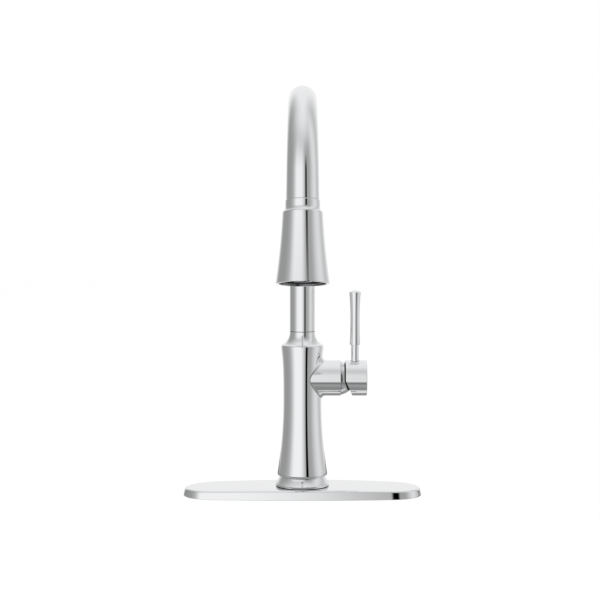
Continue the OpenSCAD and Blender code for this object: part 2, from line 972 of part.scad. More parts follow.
module dock_insert() {
    color(dark_plastic)
        on_wand()
            difference() {
                translate([0, 0, 0.5])
                    cylinder(h = dock_depth - 0.5 - seat, r = end_bore_r - seat);
                translate([0, 0, -1])
                    cylinder(h = dock_depth + 2, r = dock_bore_r);
                translate([0, 0, 0.4])
                    cylinder(h = 1.4, r1 = dock_bore_r + 1, r2 = dock_bore_r);
                translate([0, 0, 2.4])
                    difference() {
                        cylinder(h = 5, r = end_bore_r - 0.5);
                        cylinder(h = 5, r = magnet_r);
                    }
            }
}

module dock_magnet() {
    color(steel)
        on_wand()
            translate([0, 0, 2.4 + seat])
                difference() {
                    cylinder(h = 5 - 2 * seat, r = end_bore_r - 0.5 - seat);
                    translate([0, 0, -1])
                        cylinder(h = 8, r = magnet_r + seat);
                }
}

// --- hose ---

hose_join = body_top + 5;
hose_bend_rise = 34;
hose_bend_foot = hose_join - hose_bend_rise;
hose_bend_turn = 2 * atan(-hose_side / hose_bend_rise);
hose_bend_r = hose_bend_rise / 2 / sin(hose_bend_turn);

module spray_hose() {
    color(grey_plastic) {
        translate([0, 0, hose_join + pass])
            cylinder(h = straight_top - hose_join - pass, r = hose_r);
        bend(hose_r, 0, bend_angle);
    }
}

// Half of the hose's S-bend, which starts upright at the origin and turns towards +Y
module half_bend() {
    translate([0, hose_bend_r, 0])
        rotate([90, 0, 90])
            rotate_extrude(angle = -hose_bend_turn, start = 180)
                translate([hose_bend_r, 0])
                    circle(hose_r, $fn = 48);
}

module lower_hose() {
    color(grey_plastic) {
        translate([0, hose_side, -shank_length])
            cylinder(h = hose_bend_foot + shank_length, r = hose_r, $fn = 48);
        translate([0, hose_side, hose_bend_foot])
            half_bend();
        translate([0, hose_side / 2, hose_bend_foot + hose_bend_rise / 2])
            sphere(hose_r + 0.06, $fn = 48);
        translate([0, 0, hose_join])
            rotate([180, 0, 0])
                half_bend();
    }
}

module hose_inlet() {
    color(brass)
        translate([0, hose_side, -shank_length])
            rotate([180, 0, 0]) {
                cylinder(h = 4, r = 6.6, $fn = 6);
                cylinder(h = 16, r = 4.8);
                translate([0, 0, 16])
                    cylinder(h = 1, r1 = 4.8, r2 = 4);
            }
}

// --- hose end and its swivel ---

swivel_r = 4.6;

ferrule_foot = 12.8;

module hose_ferrule() {
    color(steel)
        on_wand()
            difference() {
                translate([0, 0, ferrule_foot])
                    cylinder(h = spout_end - ferrule_foot - pass, r = hose_r + 1.3);
                translate([0, 0, ferrule_foot + 1.2])
                    cylinder(h = 40, r = hose_r + seat);
                translate([0, 0, ferrule_foot - 1])
                    cylinder(h = 4, r = swivel_r + seat);
            }
}

tail_foot = ferrule_foot + 1.3;
barb_r = 3.9;

// The end of the hose that is crimped over the barb
module hose_tail() {
    color(grey_plastic)
        on_wand()
            difference() {
                translate([0, 0, tail_foot])
                    cylinder(h = spout_end - tail_foot - pass - seat, r = hose_r);
                translate([0, 0, tail_foot - 1])
                    cylinder(h = 40, r = barb_r + seat);
            }
}

module swivel_stem() {
    color(brass)
        on_wand()
            difference() {
                union() {
                    translate([0, 0, -14])
                        cylinder(h = spout_end - pass - 1 + 14, r = barb_r);
                    translate([0, 0, 8])
                        cylinder(h = ferrule_foot - 8 - seat, r = hose_r + 1.6, $fn = 6);
                    translate([0, 0, -14])
                        cylinder(h = 14 + ferrule_foot + 1, r = swivel_r);
                    translate([0, 0, -14])
                        cylinder(h = 2.6, r = 6);
                }
                translate([0, 0, -20])
                    cylinder(h = 60, r = 2.8);
            }
}

// --- spray head ---

plug_foot = -11;
neck_top = -pass / 2;

module dock_plug() {
    color(dark_plastic)
        on_wand()
            difference() {
                union() {
                    translate([0, 0, plug_foot])
                        cylinder(h = 7 - plug_foot, r = plug_r);
                    translate([0, 0, 7])
                        cylinder(h = 0.7, r1 = plug_r, r2 = plug_r - 0.7);
                    translate([0, 0, plug_foot])
                        cylinder(h = 7, r = head_neck_r - head_wall - seat);
                }
                translate([0, 0, plug_foot - 1])
                    cylinder(h = 40, r = swivel_r + running);
            }
}

module keeper_ring() {
    color(steel)
        on_wand()
            translate([0, 0, plug_foot + 7 + seat])
                difference() {
                    cylinder(h = 1.8, r = head_neck_r - head_wall - seat);
                    translate([0, 0, -1])
                        cylinder(h = 5, r = plug_r + seat);
                }
}

neck_chamfer = 1.2;
neck_length = 6;
shoulder_from = 11;
shoulder_t = 12.6;

// Radius of the shell at a distance below the seam: neck, cavetto, then a flare that steepens to the rim
function head_radius(t) =
    t < neck_chamfer ? head_neck_r - 0.6 * pow(1 - t / neck_chamfer, 2)
    : t < neck_length ? head_neck_r
    : t < shoulder_from ? head_neck_r + (head_shoulder_r - 0.4 - head_neck_r)
        * (1 - sqrt(1 - 0.9 * pow((t - neck_length) / (shoulder_from - neck_length), 2))) / (1 - sqrt(0.1))
    : t < shoulder_t ? head_shoulder_r - 0.4 * pow(1 - (t - shoulder_from) / (shoulder_t - shoulder_from), 2)
    : head_flare((t - shoulder_t) / (head_length - shoulder_t));

function head_flare(s) = head_shoulder_r + (head_rim_r - head_shoulder_r) * (0.5 * s + 0.5 * s * s);

head_stations = concat(steps(0, neck_chamfer, 4), steps(neck_length, shoulder_from, 8),
    steps(shoulder_from + 0.5, shoulder_t, 3), steps(shoulder_t + 2, head_length - 1.2, 18));
rim_round = 0.6;
face_r = 21.8;
face_recess = 1.6;
inner_foot = 66;

// Outer skin, in the wand's own frame
module head_skin() {
    rotate_extrude()
        polygon(concat(
            [[0, neck_top]],
            [for (t = head_stations) [head_radius(t), neck_top - t * (head_length + neck_top) / head_length]],
            arc(head_rim_r - rim_round, -head_length + rim_round, rim_round, 0, -90, 6),
            [[0, -head_length]]
        ));
}

// The hollow: a bore in the neck, then the same flare, a wall inside the skin
module head_hollow() {
    rotate_extrude()
        polygon(concat(
            [[0, 2], [head_neck_r - head_wall, 2], [head_neck_r - head_wall, plug_foot],
             [head_neck_r - head_wall, -shoulder_t]],
            [for (t = steps(shoulder_t + 1, inner_foot, 14)) [head_radius(t) - head_wall, -t]],
            [[face_r, -inner_foot - 1], [face_r, -head_length - 1], [0, -head_length - 1]]
        ));
}

rocker_t = 34;
rocker_width = 11;
rocker_rise = 19;
rocker_pivot_y = 16.8;
pivot_pin_r = 1.2;
pivot_pin_half = rocker_width / 2 + 2;

module head_shell() {
    color(chrome)
        on_wand()
            difference() {
                head_skin();
                head_hollow();
                translate([0, 12, -rocker_t])
                    rotate([-90, 0, 0])
                        linear_extrude(20)
                            rocker_outline(pass, 0.5);
                translate([0, rocker_pivot_y, -rocker_t])
                    rotate([0, 90, 0])
                        cylinder(h = 2 * (pivot_pin_half + seat), r = pivot_pin_r + seat, center = true);
            }
}

module rocker_outline(gap = 0, stretch = 0) {
    half = (rocker_rise - rocker_width) / 2 + stretch;
    for (s = [-1, 1])
        translate([0, s * half])
            circle(rocker_width / 2 + gap);
    square([rocker_width + 2 * gap, 2 * half], center = true);
}

spool_r = 2.6;
spool_t = rocker_t + 5.5;

// Waterway moulding inside the shell, from the swivel's cup down to the spray face
module head_core() {
    color(pale_plastic)
        on_wand()
            difference() {
                union() {
                    translate([0, 0, -inner_foot])
                        cylinder(h = inner_foot - 14 - 0.3, r = 12.4);
                    translate([0, 0, plug_foot - 3.9])
                        cylinder(h = 3.9 - seat, r = head_neck_r - head_wall - 0.3);
                    translate([0, 0, -inner_foot])
                        cylinder(h = 6, r = face_r - 1.6);
                }
                translate([0, 0, plug_foot - 6])
                    cylinder(h = 10, r = 6.4);
                translate([0, 0, -inner_foot - 1])
                    cylinder(h = 80, r = 4.4);
                translate([0, 0, -inner_foot - 1])
                    cylinder(h = 4.5, r = face_r - 4);
                translate([0, 0, -spool_t])
                    rotate([-90, 0, 0])
                        cylinder(h = 20, r = spool_r + running);
            }
}

module check_valve() {
    color(dark_plastic)
        on_wand()
            translate([0, 0, -27])
                difference() {
                    cylinder(h = 9, r = 4.4 - seat);
                    translate([0, 0, -1])
                        cylinder(h = 7, r = 2.6);
                    translate([0, 0, 7])
                        cylinder(h = 3, r = 1.4);
                }
}

face_top = -inner_foot - 1 - seat;
face_foot = -head_length + face_recess;
ring_inner_r = 16.8;
aerator_r = 8.6;

module face_ring() {
    color(dark_plastic)
        on_wand()
            translate([0, 0, face_foot])
                difference() {
                    cylinder(h = face_top - face_foot, r = face_r - seat);
                    translate([0, 0, -1])
                        cylinder(h = 30, r = ring_inner_r);
                }
}

nozzle_rows = [[14.4, 24], [11.6, 18]];

// Soft plate with two rows of raised nozzles round the aerator
module spray_face() {
    color(rubber)
        on_wand()
            difference() {
                union() {
                    translate([0, 0, face_foot + 1.2])
                        cylinder(h = face_top - face_foot - 3.4, r = ring_inner_r - seat);
                    for (row = nozzle_rows, i = [0:row[1] - 1])
                        rotate([0, 0, 360 * i / row[1]])
                            translate([row[0], 0, face_foot + 0.3])
                                cylinder(h = 2, r1 = 0.7, r2 = 0.95, $fn = 16);
                }
                translate([0, 0, face_foot - 1])
                    cylinder(h = 30, r = aerator_r + seat);
            }
}

module face_seal() {
    color(rubber)
        on_wand()
            translate([0, 0, face_top - 2.1])
                difference() {
                    cylinder(h = 2, r = ring_inner_r - seat);
                    translate([0, 0, -1])
                        cylinder(h = 5, r = ring_inner_r - 2.4);
                }
}

module aerator_housing() {
    color(grey_plastic)
        on_wand()
            translate([0, 0, face_foot + 0.4])
                difference() {
                    cylinder(h = face_top - face_foot - 0.6, r = aerator_r);
                    translate([0, 0, -1])
                        cylinder(h = 30, r = aerator_r - 1.3);
                }
}

// Honeycomb of small holes across the stream outlet
module aerator_screen() {
    pitch = 2.3;
    color(steel)
        on_wand()
            translate([0, 0, face_foot + 1.4])
                difference() {
                    cylinder(h = 1.6, r = aerator_r - 1.3 - seat);
                    for (i = [-3:3], j = [-3:3])
                        let (
                            x = pitch * (i + 0.5 * (abs(j) % 2)),
                            y = pitch * 0.866 * j
                        )
                        if (norm([x, y]) < aerator_r - 2.9)
                            translate([x, y, -1])
                                cylinder(h = 4, r = 0.95, $fn = 6);
                }
}

// --- mode rocker ---

rocker_depth = 2.2;
rocker_stand = 1.2;
rocker_slope = 4.6;
rocker_face = head_flare((rocker_t - shoulder_t) / (head_length - shoulder_t)) + rocker_stand - rocker_pivot_y;
rocker_crown = 60;

// The rocker's own frame: its origin on the pivot, y outwards, its lower end standing out at rest
module on_rocker() {
    on_wand()
        translate([0, rocker_pivot_y, -rocker_t])
            rotate([rocker_slope + rocker_angle / 2, 0, 0])
                children();
}

module mode_rocker() {
    color(grey_plastic)
        on_rocker()
            difference() {
                intersection() {
                    translate([0, -rocker_depth, 0])
                        rotate([-90, 0, 0])
                            linear_extrude(12)
                                rocker_outline();
                    translate([0, rocker_face - rocker_crown, 0])
                        rotate([0, 90, 0])
                            cylinder(h = 30, r = rocker_crown, center = true);
                }
                rotate([0, 90, 0])
                    cylinder(h = 30, r = pivot_pin_r + running, center = true);
            }
}

module rocker_pin() {
    color(steel)
        on_wand()
            translate([0, rocker_pivot_y, -rocker_t])
                rotate([0, 90, 0])
                    cylinder(h = 2 * pivot_pin_half, r = pivot_pin_r, center = true);
}

spool_foot = 3;
spool_end = rocker_pivot_y - rocker_depth + 0.15;

module diverter_spool() {
    color(grey_plastic)
        on_wand()
            translate([0, spool_foot, -spool_t])
                rotate([-90, 0, 0])
                    cylinder(h = spool_end - spool_foot, r = spool_r);
}

deck_plate();
under_plate();
deck_seal();
base_ring();
base_seal();
mounting_shank();
faucet_body();
waterway_core();
neck_collar();
upper_bushing();
lower_bushing();
cartridge_seals();
cartridge_housing();
fixed_disc();
bonnet_nut();
dome_cap();
lower_hose();
hose_inlet();
spout_tube();
spout_sleeve();
retaining_clip();
dock_insert();
dock_magnet();
spray_hose();
stem_carrier();
tilt_pin();
moving_disc();
disc_guide();
valve_spindle();
handle_hub();
hub_screw();
lever_stem();
lever_grip();
hose_ferrule();
hose_tail();
swivel_stem();
dock_plug();
keeper_ring();
head_shell();
head_core();
check_valve();
face_ring();
spray_face();
aerator_housing();
aerator_screen();
face_seal();
mode_rocker();
rocker_pin();
diverter_spool();
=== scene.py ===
import logging
import math
from dataclasses import dataclass
from enum import Enum
from typing import ClassVar

import bpy
import numpy as np
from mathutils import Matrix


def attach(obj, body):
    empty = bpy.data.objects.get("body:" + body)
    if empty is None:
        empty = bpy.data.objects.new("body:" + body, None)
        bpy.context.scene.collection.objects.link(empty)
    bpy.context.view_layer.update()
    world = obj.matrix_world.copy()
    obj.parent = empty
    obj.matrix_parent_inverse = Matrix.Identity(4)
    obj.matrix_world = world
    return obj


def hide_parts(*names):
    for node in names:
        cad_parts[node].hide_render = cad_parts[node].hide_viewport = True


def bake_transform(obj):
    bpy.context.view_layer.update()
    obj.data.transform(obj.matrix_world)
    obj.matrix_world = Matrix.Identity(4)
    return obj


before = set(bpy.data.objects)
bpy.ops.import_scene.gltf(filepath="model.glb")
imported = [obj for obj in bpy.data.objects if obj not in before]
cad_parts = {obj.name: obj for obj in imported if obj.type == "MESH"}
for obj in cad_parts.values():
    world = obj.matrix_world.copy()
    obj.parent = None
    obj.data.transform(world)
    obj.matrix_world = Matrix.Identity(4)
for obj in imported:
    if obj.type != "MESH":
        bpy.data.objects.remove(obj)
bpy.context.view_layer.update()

LOG = logging.getLogger("faucet")
MM = 0.001
CRISP = math.radians(32.0)
Array = np.ndarray
Shell = tuple[Array, list]


# ---------------------------------------------------------------- placing


@dataclass(frozen=True)
class Place:
    """Where a sub-assembly's own axes lie in the row frame, in millimetres.

    Args:
        origin: the local origin.
        axes: rows are the local x, y and z directions in the row frame.
    """

    origin: tuple[float, float, float]
    axes: tuple[tuple[float, float, float], ...]

    def out(self, points: Array) -> Array:
        """Local points in millimetres, as row frame points in metres."""
        return (np.asarray(points) @ np.array(self.axes) + np.array(self.origin)) * MM

    def local(self, points: Array) -> Array:
        """Row frame points in millimetres, as local points."""
        return (points - np.array(self.origin)) @ np.array(self.axes).T

    def along(self, directions: Array) -> Array:
        """How much of each direction lies along local z."""
        return directions @ np.array(self.axes)[2]


class Measures:
    """Sizes that several sub-assemblies share, in millimetres."""

    bend_r = 88.4
    bend_z = 324.4
    bend_angle = 171.0
    spout_end = 26.7
    spout_r = 13.4
    spout_end_r = 15.6
    valve_z = 125.5
    pivot_x = 38.0
    arm_r = 18.8
    arm_x = 41.0
    lever_x = 56.0
    hole_r = 17.5
    gap = 0.15

    @classmethod
    def tilt(cls) -> float:
        """Tilt of the spout's end from upright, in radians."""
        return math.radians(180 - cls.bend_angle)

    @classmethod
    def dock(cls) -> tuple[float, float, float]:
        """The seam between the spout and the spray head.

        Returns:
            Its centre.
        """
        a, t = math.radians(cls.bend_angle), cls.tilt()
        y = -cls.bend_r + cls.bend_r * math.cos(a) - cls.spout_end * math.sin(t)
        z = cls.bend_z + cls.bend_r * math.sin(a) - cls.spout_end * math.cos(t)
        return (0.0, y, z)

    @classmethod
    def upright(cls) -> Place:
        """Axes of the row frame itself."""
        return Place((0, 0, 0), ((1, 0, 0), (0, 1, 0), (0, 0, 1)))

    @classmethod
    def valve(cls) -> Place:
        """Local z along the arm, local x down."""
        return Place((0, 0, cls.valve_z), ((0, 0, -1), (0, 1, 0), (1, 0, 0)))

    @classmethod
    def lever(cls) -> Place:
        """Upright axes through the lever."""
        return Place((cls.lever_x, 0, 0), cls.upright().axes)

    @classmethod
    def wand(cls) -> Place:
        """Local z up into the spout's end, with its origin at the seam."""
        c, s = math.cos(cls.tilt()), math.sin(cls.tilt())
        return Place(cls.dock(), ((1, 0, 0), (0, c, -s), (0, s, c)))


# ---------------------------------------------------------------- meshes


def smooth(mesh: bpy.types.Mesh) -> None:
    """Shades a mesh smooth, with edges that stay crisp past the crisp angle."""
    mesh.polygons.foreach_set("use_smooth", np.ones(len(mesh.polygons), bool))
    mesh.set_sharp_from_angle(angle=CRISP)


def mesh_object(name: str, verts: Array, faces: list) -> bpy.types.Object:
    """A smooth-shaded mesh.

    Args:
        name: the piece's name.
        verts: n by 3 points in metres.
        faces: lists of vertex numbers.

    Returns:
        The new object, at the origin.
    """
    mesh = bpy.data.meshes.new(name)
    mesh.from_pydata(verts.tolist(), [], faces)
    mesh.validate()
    mesh.update()
    smooth(mesh)
    obj = bpy.data.objects.new(name, mesh)
    bpy.context.scene.collection.objects.link(obj)
    return obj


def grid_shell(grid: Array, wrap_u: bool = False) -> Shell:
    """Vertices and faces of a surface given as points on a grid.

    The second direction always closes on itself. A row whose points all coincide is
    a pole and becomes one vertex. The faces are turned so that the volume they
    enclose is positive, which makes them face outwards.

    Args:
        grid: rows by columns by 3 points.
        wrap_u: whether the last row joins the first.

    Returns:
        Points and faces.
    """
    rows, cols, _ = grid.shape
    spread = np.abs(grid - grid[:, :1]).max(axis=(1, 2))
    pole = spread < 1e-7
    number = np.arange(rows * cols).reshape(rows, cols)
    number[pole] = number[pole][:, :1]
    a = number if wrap_u else number[:-1]
    b = np.roll(number, -1, axis=0) if wrap_u else number[1:]
    quads = np.stack([a, np.roll(a, -1, 1), np.roll(b, -1, 1), b], axis=-1).reshape(-1, 4)
    points = grid.reshape(-1, 3)
    p = points[quads]
    mid = p.mean(axis=1)
    area = np.cross(p[:, 2] - p[:, 0], p[:, 3] - p[:, 1]) / 2
    if (mid * area).sum() < 0:
        quads = quads[:, ::-1]
    used, packed = np.unique(quads, return_inverse=True)
    packed = packed.reshape(-1, 4)
    same = [packed[:, i] == packed[:, (i + 1) % 4] for i in range(4)]
    full = ~np.any(same, axis=0)
    faces = packed[full].tolist()
    for i in range(4):
        cut = packed[same[i] & ~same[(i + 2) % 4]]
        faces += np.delete(cut, i, axis=1).tolist()
    return points[used], faces


def joined(parts: list[Shell]) -> Shell:
    """Several shells as one.

    Args:
        parts: the shells.

    Returns:
        All their points, and their faces numbered to match.
    """
    points, faces, base = [], [], 0
    for verts, part in parts:
        points.append(verts)
        faces += [[i + base for i in face] for face in part]
        base += len(verts)
    return np.vstack(points), faces


def rounded(corners: list[tuple[float, float, float]], steps: int = 6) -> Array:
    """A profile whose corners are rounded, with a support point beside each round.

    Each corner is (radius, height, rounding). A rounded corner becomes the arc that
    is tangent to both of its sides: its tangent length is the rounding times the
    tangent of half the turn.

    Args:
        corners: the corners in order.
        steps: pieces in each arc.

    Returns:
        n by 2 points.
    """
    pts = np.array([c[:2] for c in corners], float)
    out = [pts[0]]
    for i in range(1, len(pts) - 1):
        size = corners[i][2]
        u, v = pts[i - 1] - pts[i], pts[i + 1] - pts[i]
        lu, lv = np.linalg.norm(u), np.linalg.norm(v)
        u, v = u / lu, v / lv
        turn = math.acos(float(np.clip(u @ v, -1, 1)))
        if size <= 0 or turn > math.pi - 0.02:
            out.append(pts[i])
            continue
        reach = min(size / math.tan(turn / 2), lu * 0.48, lv * 0.48)
        size = reach * math.tan(turn / 2)
        centre = pts[i] + (u + v) / np.linalg.norm(u + v) * size / math.sin(turn / 2)
        a, b = pts[i] + u * reach, pts[i] + v * reach
        t0 = math.atan2(*(a - centre)[::-1])
        t1 = math.atan2(*(b - centre)[::-1])
        sweep = (t1 - t0 + math.pi) % (2 * math.pi) - math.pi
        t = t0 + sweep * np.linspace(0, 1, steps + 1)
        arc = centre + size * np.stack([np.cos(t), np.sin(t)], axis=1)
        out += [a + u * min(0.12, reach * 0.3), *arc, b + v * min(0.12, reach * 0.3)]
    out.append(pts[-1])
    return np.array(out)


def turned(profile: Array, place: Place, sides: int, closed: bool = False) -> Shell:
    """A profile of (radius, height) turned about the local z axis.

    Point = (radius cos t, radius sin t, height), t running once round.

    Args:
        profile: n by 2 points in millimetres; a radius of 0 is a pole.
        place: the local axes.
        sides: columns round the axis.
        closed: whether the profile's last point joins its first.

    Returns:
        Points and faces.
    """
    t = np.linspace(0, 2 * math.pi, sides, endpoint=False)
    r, h = profile[:, :1], profile[:, 1:]
    local = np.stack([r * np.cos(t), r * np.sin(t), h + 0 * t], axis=-1)
    return grid_shell(place.out(local), wrap_u=closed)


# ---------------------------------------------------------------- finishes


class Nodes:
    """Short ways to add nodes to a tree."""

    def __init__(self, tree: bpy.types.NodeTree) -> None:
        """Keeps the tree."""
        self.nodes, self.links = tree.nodes, tree.links

    def feed(self, socket: bpy.types.NodeSocket, value: object) -> None:
        """Links a socket, or sets it to a number or colour."""
        if isinstance(value, bpy.types.NodeSocket):
            self.links.new(value, socket)
        else:
            socket.default_value = value

    def calc(self, kind: str, *values: object) -> bpy.types.NodeSocket:
        """A Math node.

        Args:
            kind: its operation.
            values: sockets or numbers that feed it.

        Returns:
            Its result.
        """
        node = self.nodes.new("ShaderNodeMath")
        node.operation = kind
        for i, value in enumerate(values):
            self.feed(node.inputs[i], value)
        return node.outputs[0]

    def ramp(self, value: bpy.types.NodeSocket,
             stops: tuple[tuple[float, float], ...]) -> bpy.types.NodeSocket:
        """A ramp of grey levels.

        Args:
            value: what it reads, 0 to 1.
            stops: pairs of position and level.

        Returns:
            The grey.
        """
        node = self.nodes.new("ShaderNodeValToRGB")
        bar = node.color_ramp.elements
        bar[0].position, bar[0].color = stops[0][0], (*[stops[0][1]] * 3, 1)
        bar[1].position, bar[1].color = stops[-1][0], (*[stops[-1][1]] * 3, 1)
        for position, level in stops[1:-1]:
            bar.new(position).color = (level, level, level, 1)
        self.links.new(value, node.inputs["Fac"])
        return node.outputs["Color"]

    def slope(self, value: bpy.types.NodeSocket, none: float, full: float) -> bpy.types.NodeSocket:
        """A smooth step.

        Args:
            value: what it reads.
            none: where it is 0.
            full: where it is 1.

        Returns:
            The step's socket.
        """
        node = self.nodes.new("ShaderNodeMapRange")
        node.interpolation_type = "SMOOTHSTEP"
        node.inputs["From Min"].default_value = min(none, full)
        node.inputs["From Max"].default_value = max(none, full)
        node.inputs["To Min"].default_value = float(none > full)
        node.inputs["To Max"].default_value = float(full > none)
        self.links.new(value, node.inputs["Value"])
        return node.outputs["Result"]

    def mix(self, share: object, low: object, high: object) -> bpy.types.NodeSocket:
        """A mix of two colours.

        Args:
            share: the second colour's share.
            low: the first colour.
            high: the second colour.

        Returns:
            The mixed colour.
        """
        node = self.nodes.new("ShaderNodeMix")
        node.data_type = "RGBA"
        kinds = {"Factor": "VALUE", "A": "RGBA", "B": "RGBA"}
        for name, value in zip(kinds, (share, low, high)):
            socket = next(i for i in node.inputs if i.name == name and i.type == kinds[name])
            self.feed(socket, value)
        return next(o for o in node.outputs if o.type == "RGBA")

    def shaders(self, share: object, low: bpy.types.NodeSocket,
                high: bpy.types.NodeSocket) -> bpy.types.NodeSocket:
        """A mix of two shaders.

        Args:
            share: the second shader's share.
            low: the first shader.
            high: the second shader.

        Returns:
            The mixed shader.
        """
        node = self.nodes.new("ShaderNodeMixShader")
        for socket, value in zip(node.inputs, (share, low, high)):
            self.feed(socket, value)
        return node.outputs[0]

    def noise(self, where: bpy.types.NodeSocket, size: float, detail: float) -> bpy.types.NodeSocket:
        """Noise in patches.

        Args:
            where: the place in metres.
            size: size of a patch in millimetres.
            detail: octaves of finer noise.

        Returns:
            The noise, 0 to 1.
        """
        node = self.nodes.new("ShaderNodeTexNoise")
        node.inputs["Scale"].default_value = 1 / (size * MM)
        node.inputs["Detail"].default_value = detail
        self.links.new(where, node.inputs["Vector"])
        return node.outputs["Fac"]

    def relief(self, shader: bpy.types.Node, height: bpy.types.NodeSocket, depth: float) -> None:
        """Gives a shader relief.

        Args:
            shader: the shader.
            height: the relief's height, 0 to 1.
            depth: what a height of 1 stands for, in millimetres.
        """
        node = self.nodes.new("ShaderNodeBump")
        node.inputs["Strength"].default_value = 1.0
        node.inputs["Distance"].default_value = depth * MM
        self.links.new(height, node.inputs["Height"])
        self.links.new(node.outputs["Normal"], shader.inputs["Normal"])


class Colour(Enum):
    """Base colours of the finishes, linear."""

    CHROME = (0.86, 0.865, 0.875, 1.0)
    STEEL = (0.56, 0.57, 0.58, 1.0)
    BRASS = (0.60, 0.42, 0.16, 1.0)
    BLACK = (0.012, 0.012, 0.013, 1.0)
    CHARCOAL = (0.022, 0.023, 0.025, 1.0)
    SILVER_GREY = (0.19, 0.20, 0.21, 1.0)
    ACETAL = (0.78, 0.77, 0.73, 1.0)
    CERAMIC = (0.84, 0.83, 0.79, 1.0)


@dataclass(frozen=True)
class Finish:
    """A surface finish: its colour and gloss, and the fine detail in both.

    Args:
        name: the material's name.
        colour: base colour.
        metal: 1 for metals.
        gloss: the smallest and largest roughness across the surface.
        patch: size of the patches of uneven gloss, in millimetres.
        grain: size of the surface's grain, in millimetres.
        relief: height of the grain, in millimetres.
        stretch: how much longer the grain is along x, y and z.
    """

    name: str
    colour: Colour
    metal: float = 0.0
    gloss: tuple[float, float] = (0.3, 0.4)
    patch: float = 12.0
    grain: float = 0.4
    relief: float = 0.004
    stretch: tuple[float, float, float] = (1.0, 1.0, 1.0)

    def material(self) -> bpy.types.Material:
        """The finish as a node material, made once.

        Returns:
            The material.
        """
        made = bpy.data.materials.get(self.name)
        if made:
            return made
        mat = bpy.data.materials.new(self.name)
        mat.use_nodes = True
        add = Nodes(mat.node_tree)
        shader = add.nodes["Principled BSDF"]
        shader.inputs["Base Color"].default_value = self.colour.value
        shader.inputs["Metallic"].default_value = self.metal
        where = add.nodes.new("ShaderNodeTexCoord")
        space = add.nodes.new("ShaderNodeMapping")
        space.inputs["Scale"].default_value = tuple(1.0 / s for s in self.stretch)
        add.links.new(where.outputs["Object"], space.inputs["Vector"])
        spread = add.nodes.new("ShaderNodeMapRange")
        limits = {"From Min": 0.3, "From Max": 0.7, "To Min": self.gloss[0], "To Max": self.gloss[1]}
        for name, value in limits.items():
            spread.inputs[name].default_value = value
        add.links.new(add.noise(space.outputs["Vector"], self.patch, 4.0), spread.inputs["Value"])
        add.links.new(spread.outputs["Result"], shader.inputs["Roughness"])
        add.relief(shader, add.noise(space.outputs["Vector"], self.grain, 3.0), self.relief)
        return mat


class Finishes:
    """The faucet's finishes, and the black material of the painted shade in its gaps."""

    chrome = Finish("polished_chrome", Colour.CHROME, 1.0, (0.012, 0.030), 18.0, 9.0, 0.0004)
    steel = Finish("stainless_steel", Colour.STEEL, 1.0, (0.18, 0.30), 6.0, 0.5, 0.002, (1, 1, 8))
    brass = Finish("turned_brass", Colour.BRASS, 1.0, (0.20, 0.34), 5.0, 0.5, 0.003, (6, 6, 1))
    rubber = Finish("black_silicone", Colour.BLACK, 0.0, (0.48, 0.62), 4.0, 0.35, 0.010)
    # Black, rough material laid on faces in gaps and seams: painted shade.
    shade = Finish("painted_gap_shade", Colour.BLACK, 0.0, (0.80, 0.95), 4.0, 0.4, 0.004)
    charcoal = Finish("charcoal_plastic", Colour.CHARCOAL, 0.0, (0.34, 0.46), 6.0, 0.4, 0.008)
    grey = Finish("silver_grey_plastic", Colour.SILVER_GREY, 0.0, (0.28, 0.40), 6.0, 0.4, 0.006)
    acetal = Finish("pale_acetal", Colour.ACETAL, 0.0, (0.36, 0.48), 8.0, 0.5, 0.006)
    ceramic = Finish("lapped_ceramic", Colour.CERAMIC, 0.0, (0.10, 0.18), 6.0, 0.3, 0.002)


@dataclass(frozen=True)
class Braid:
    """Woven cover of a hose: two sets of strands that wind opposite ways round local z.

    Args:
        name: the material's name.
        place: the hose's local axes.
        strands: strands in each set.
        pitch: millimetres along the hose for one turn of a strand.
        relief: height of a strand, in millimetres.
    """

    name: str
    place: Place
    strands: int = 16
    pitch: float = 24.0
    relief: float = 0.35

    def material(self) -> bpy.types.Material:
        """The cover as a node material, made once.

        The height of a strand is the size of sin(strands / 2 * (angle +- turns)), and the higher
        set shows.

        Returns:
            The material.
        """
        made = bpy.data.materials.get(self.name)
        if made:
            return made
        mat = bpy.data.materials.new(self.name)
        mat.use_nodes = True
        add = Nodes(mat.node_tree)
        shader = add.nodes["Principled BSDF"]
        where = add.nodes.new("ShaderNodeTexCoord")
        local = []
        for axis in self.place.axes:
            along = add.nodes.new("ShaderNodeVectorMath")
            along.operation = "DOT_PRODUCT"
            along.inputs[1].default_value = axis
            add.links.new(where.outputs["Object"], along.inputs[0])
            shift = float(np.dot(axis, self.place.origin)) * MM
            local.append(add.calc("SUBTRACT", along.outputs["Value"], shift))
        angle = add.calc("ARCTAN2", local[1], local[0])
        turns = add.calc("MULTIPLY", local[2], 2 * math.pi / (self.pitch * MM))
        waves = []
        for way in ("ADD", "SUBTRACT"):
            phase = add.calc("MULTIPLY", add.calc(way, angle, turns), self.strands / 2)
            waves.append(add.calc("ABSOLUTE", add.calc("SINE", phase)))
        height = add.calc("MAXIMUM", *waves)
        # Base colour runs from near black down in the weave to dark grey on the strands' crests: painted
        # shade in the hollows.
        add.feed(shader.inputs["Base Color"], add.ramp(height, ((0.0, 0.02), (0.7, 0.06), (1.0, 0.15))))
        add.feed(shader.inputs["Roughness"], add.calc("MULTIPLY_ADD", height, -0.2, 0.62))
        add.relief(shader, height, self.relief)
        return mat


def dress(obj: bpy.types.Object, finish: Finish | Braid) -> bpy.types.Object:
    """Gives an object one finish all over.

    Args:
        obj: the object.
        finish: its finish.

    Returns:
        The object.
    """
    obj.data.materials.clear()
    obj.data.materials.append(finish.material())
    return obj


def dress_nodes(looks: dict[Finish | Braid, tuple[str, ...]]) -> None:
    """Gives CAD nodes their finishes.

    Args:
        looks: the names of the nodes for each finish.
    """
    for finish, names in looks.items():
        for name in names:
            dress(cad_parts[name], finish)


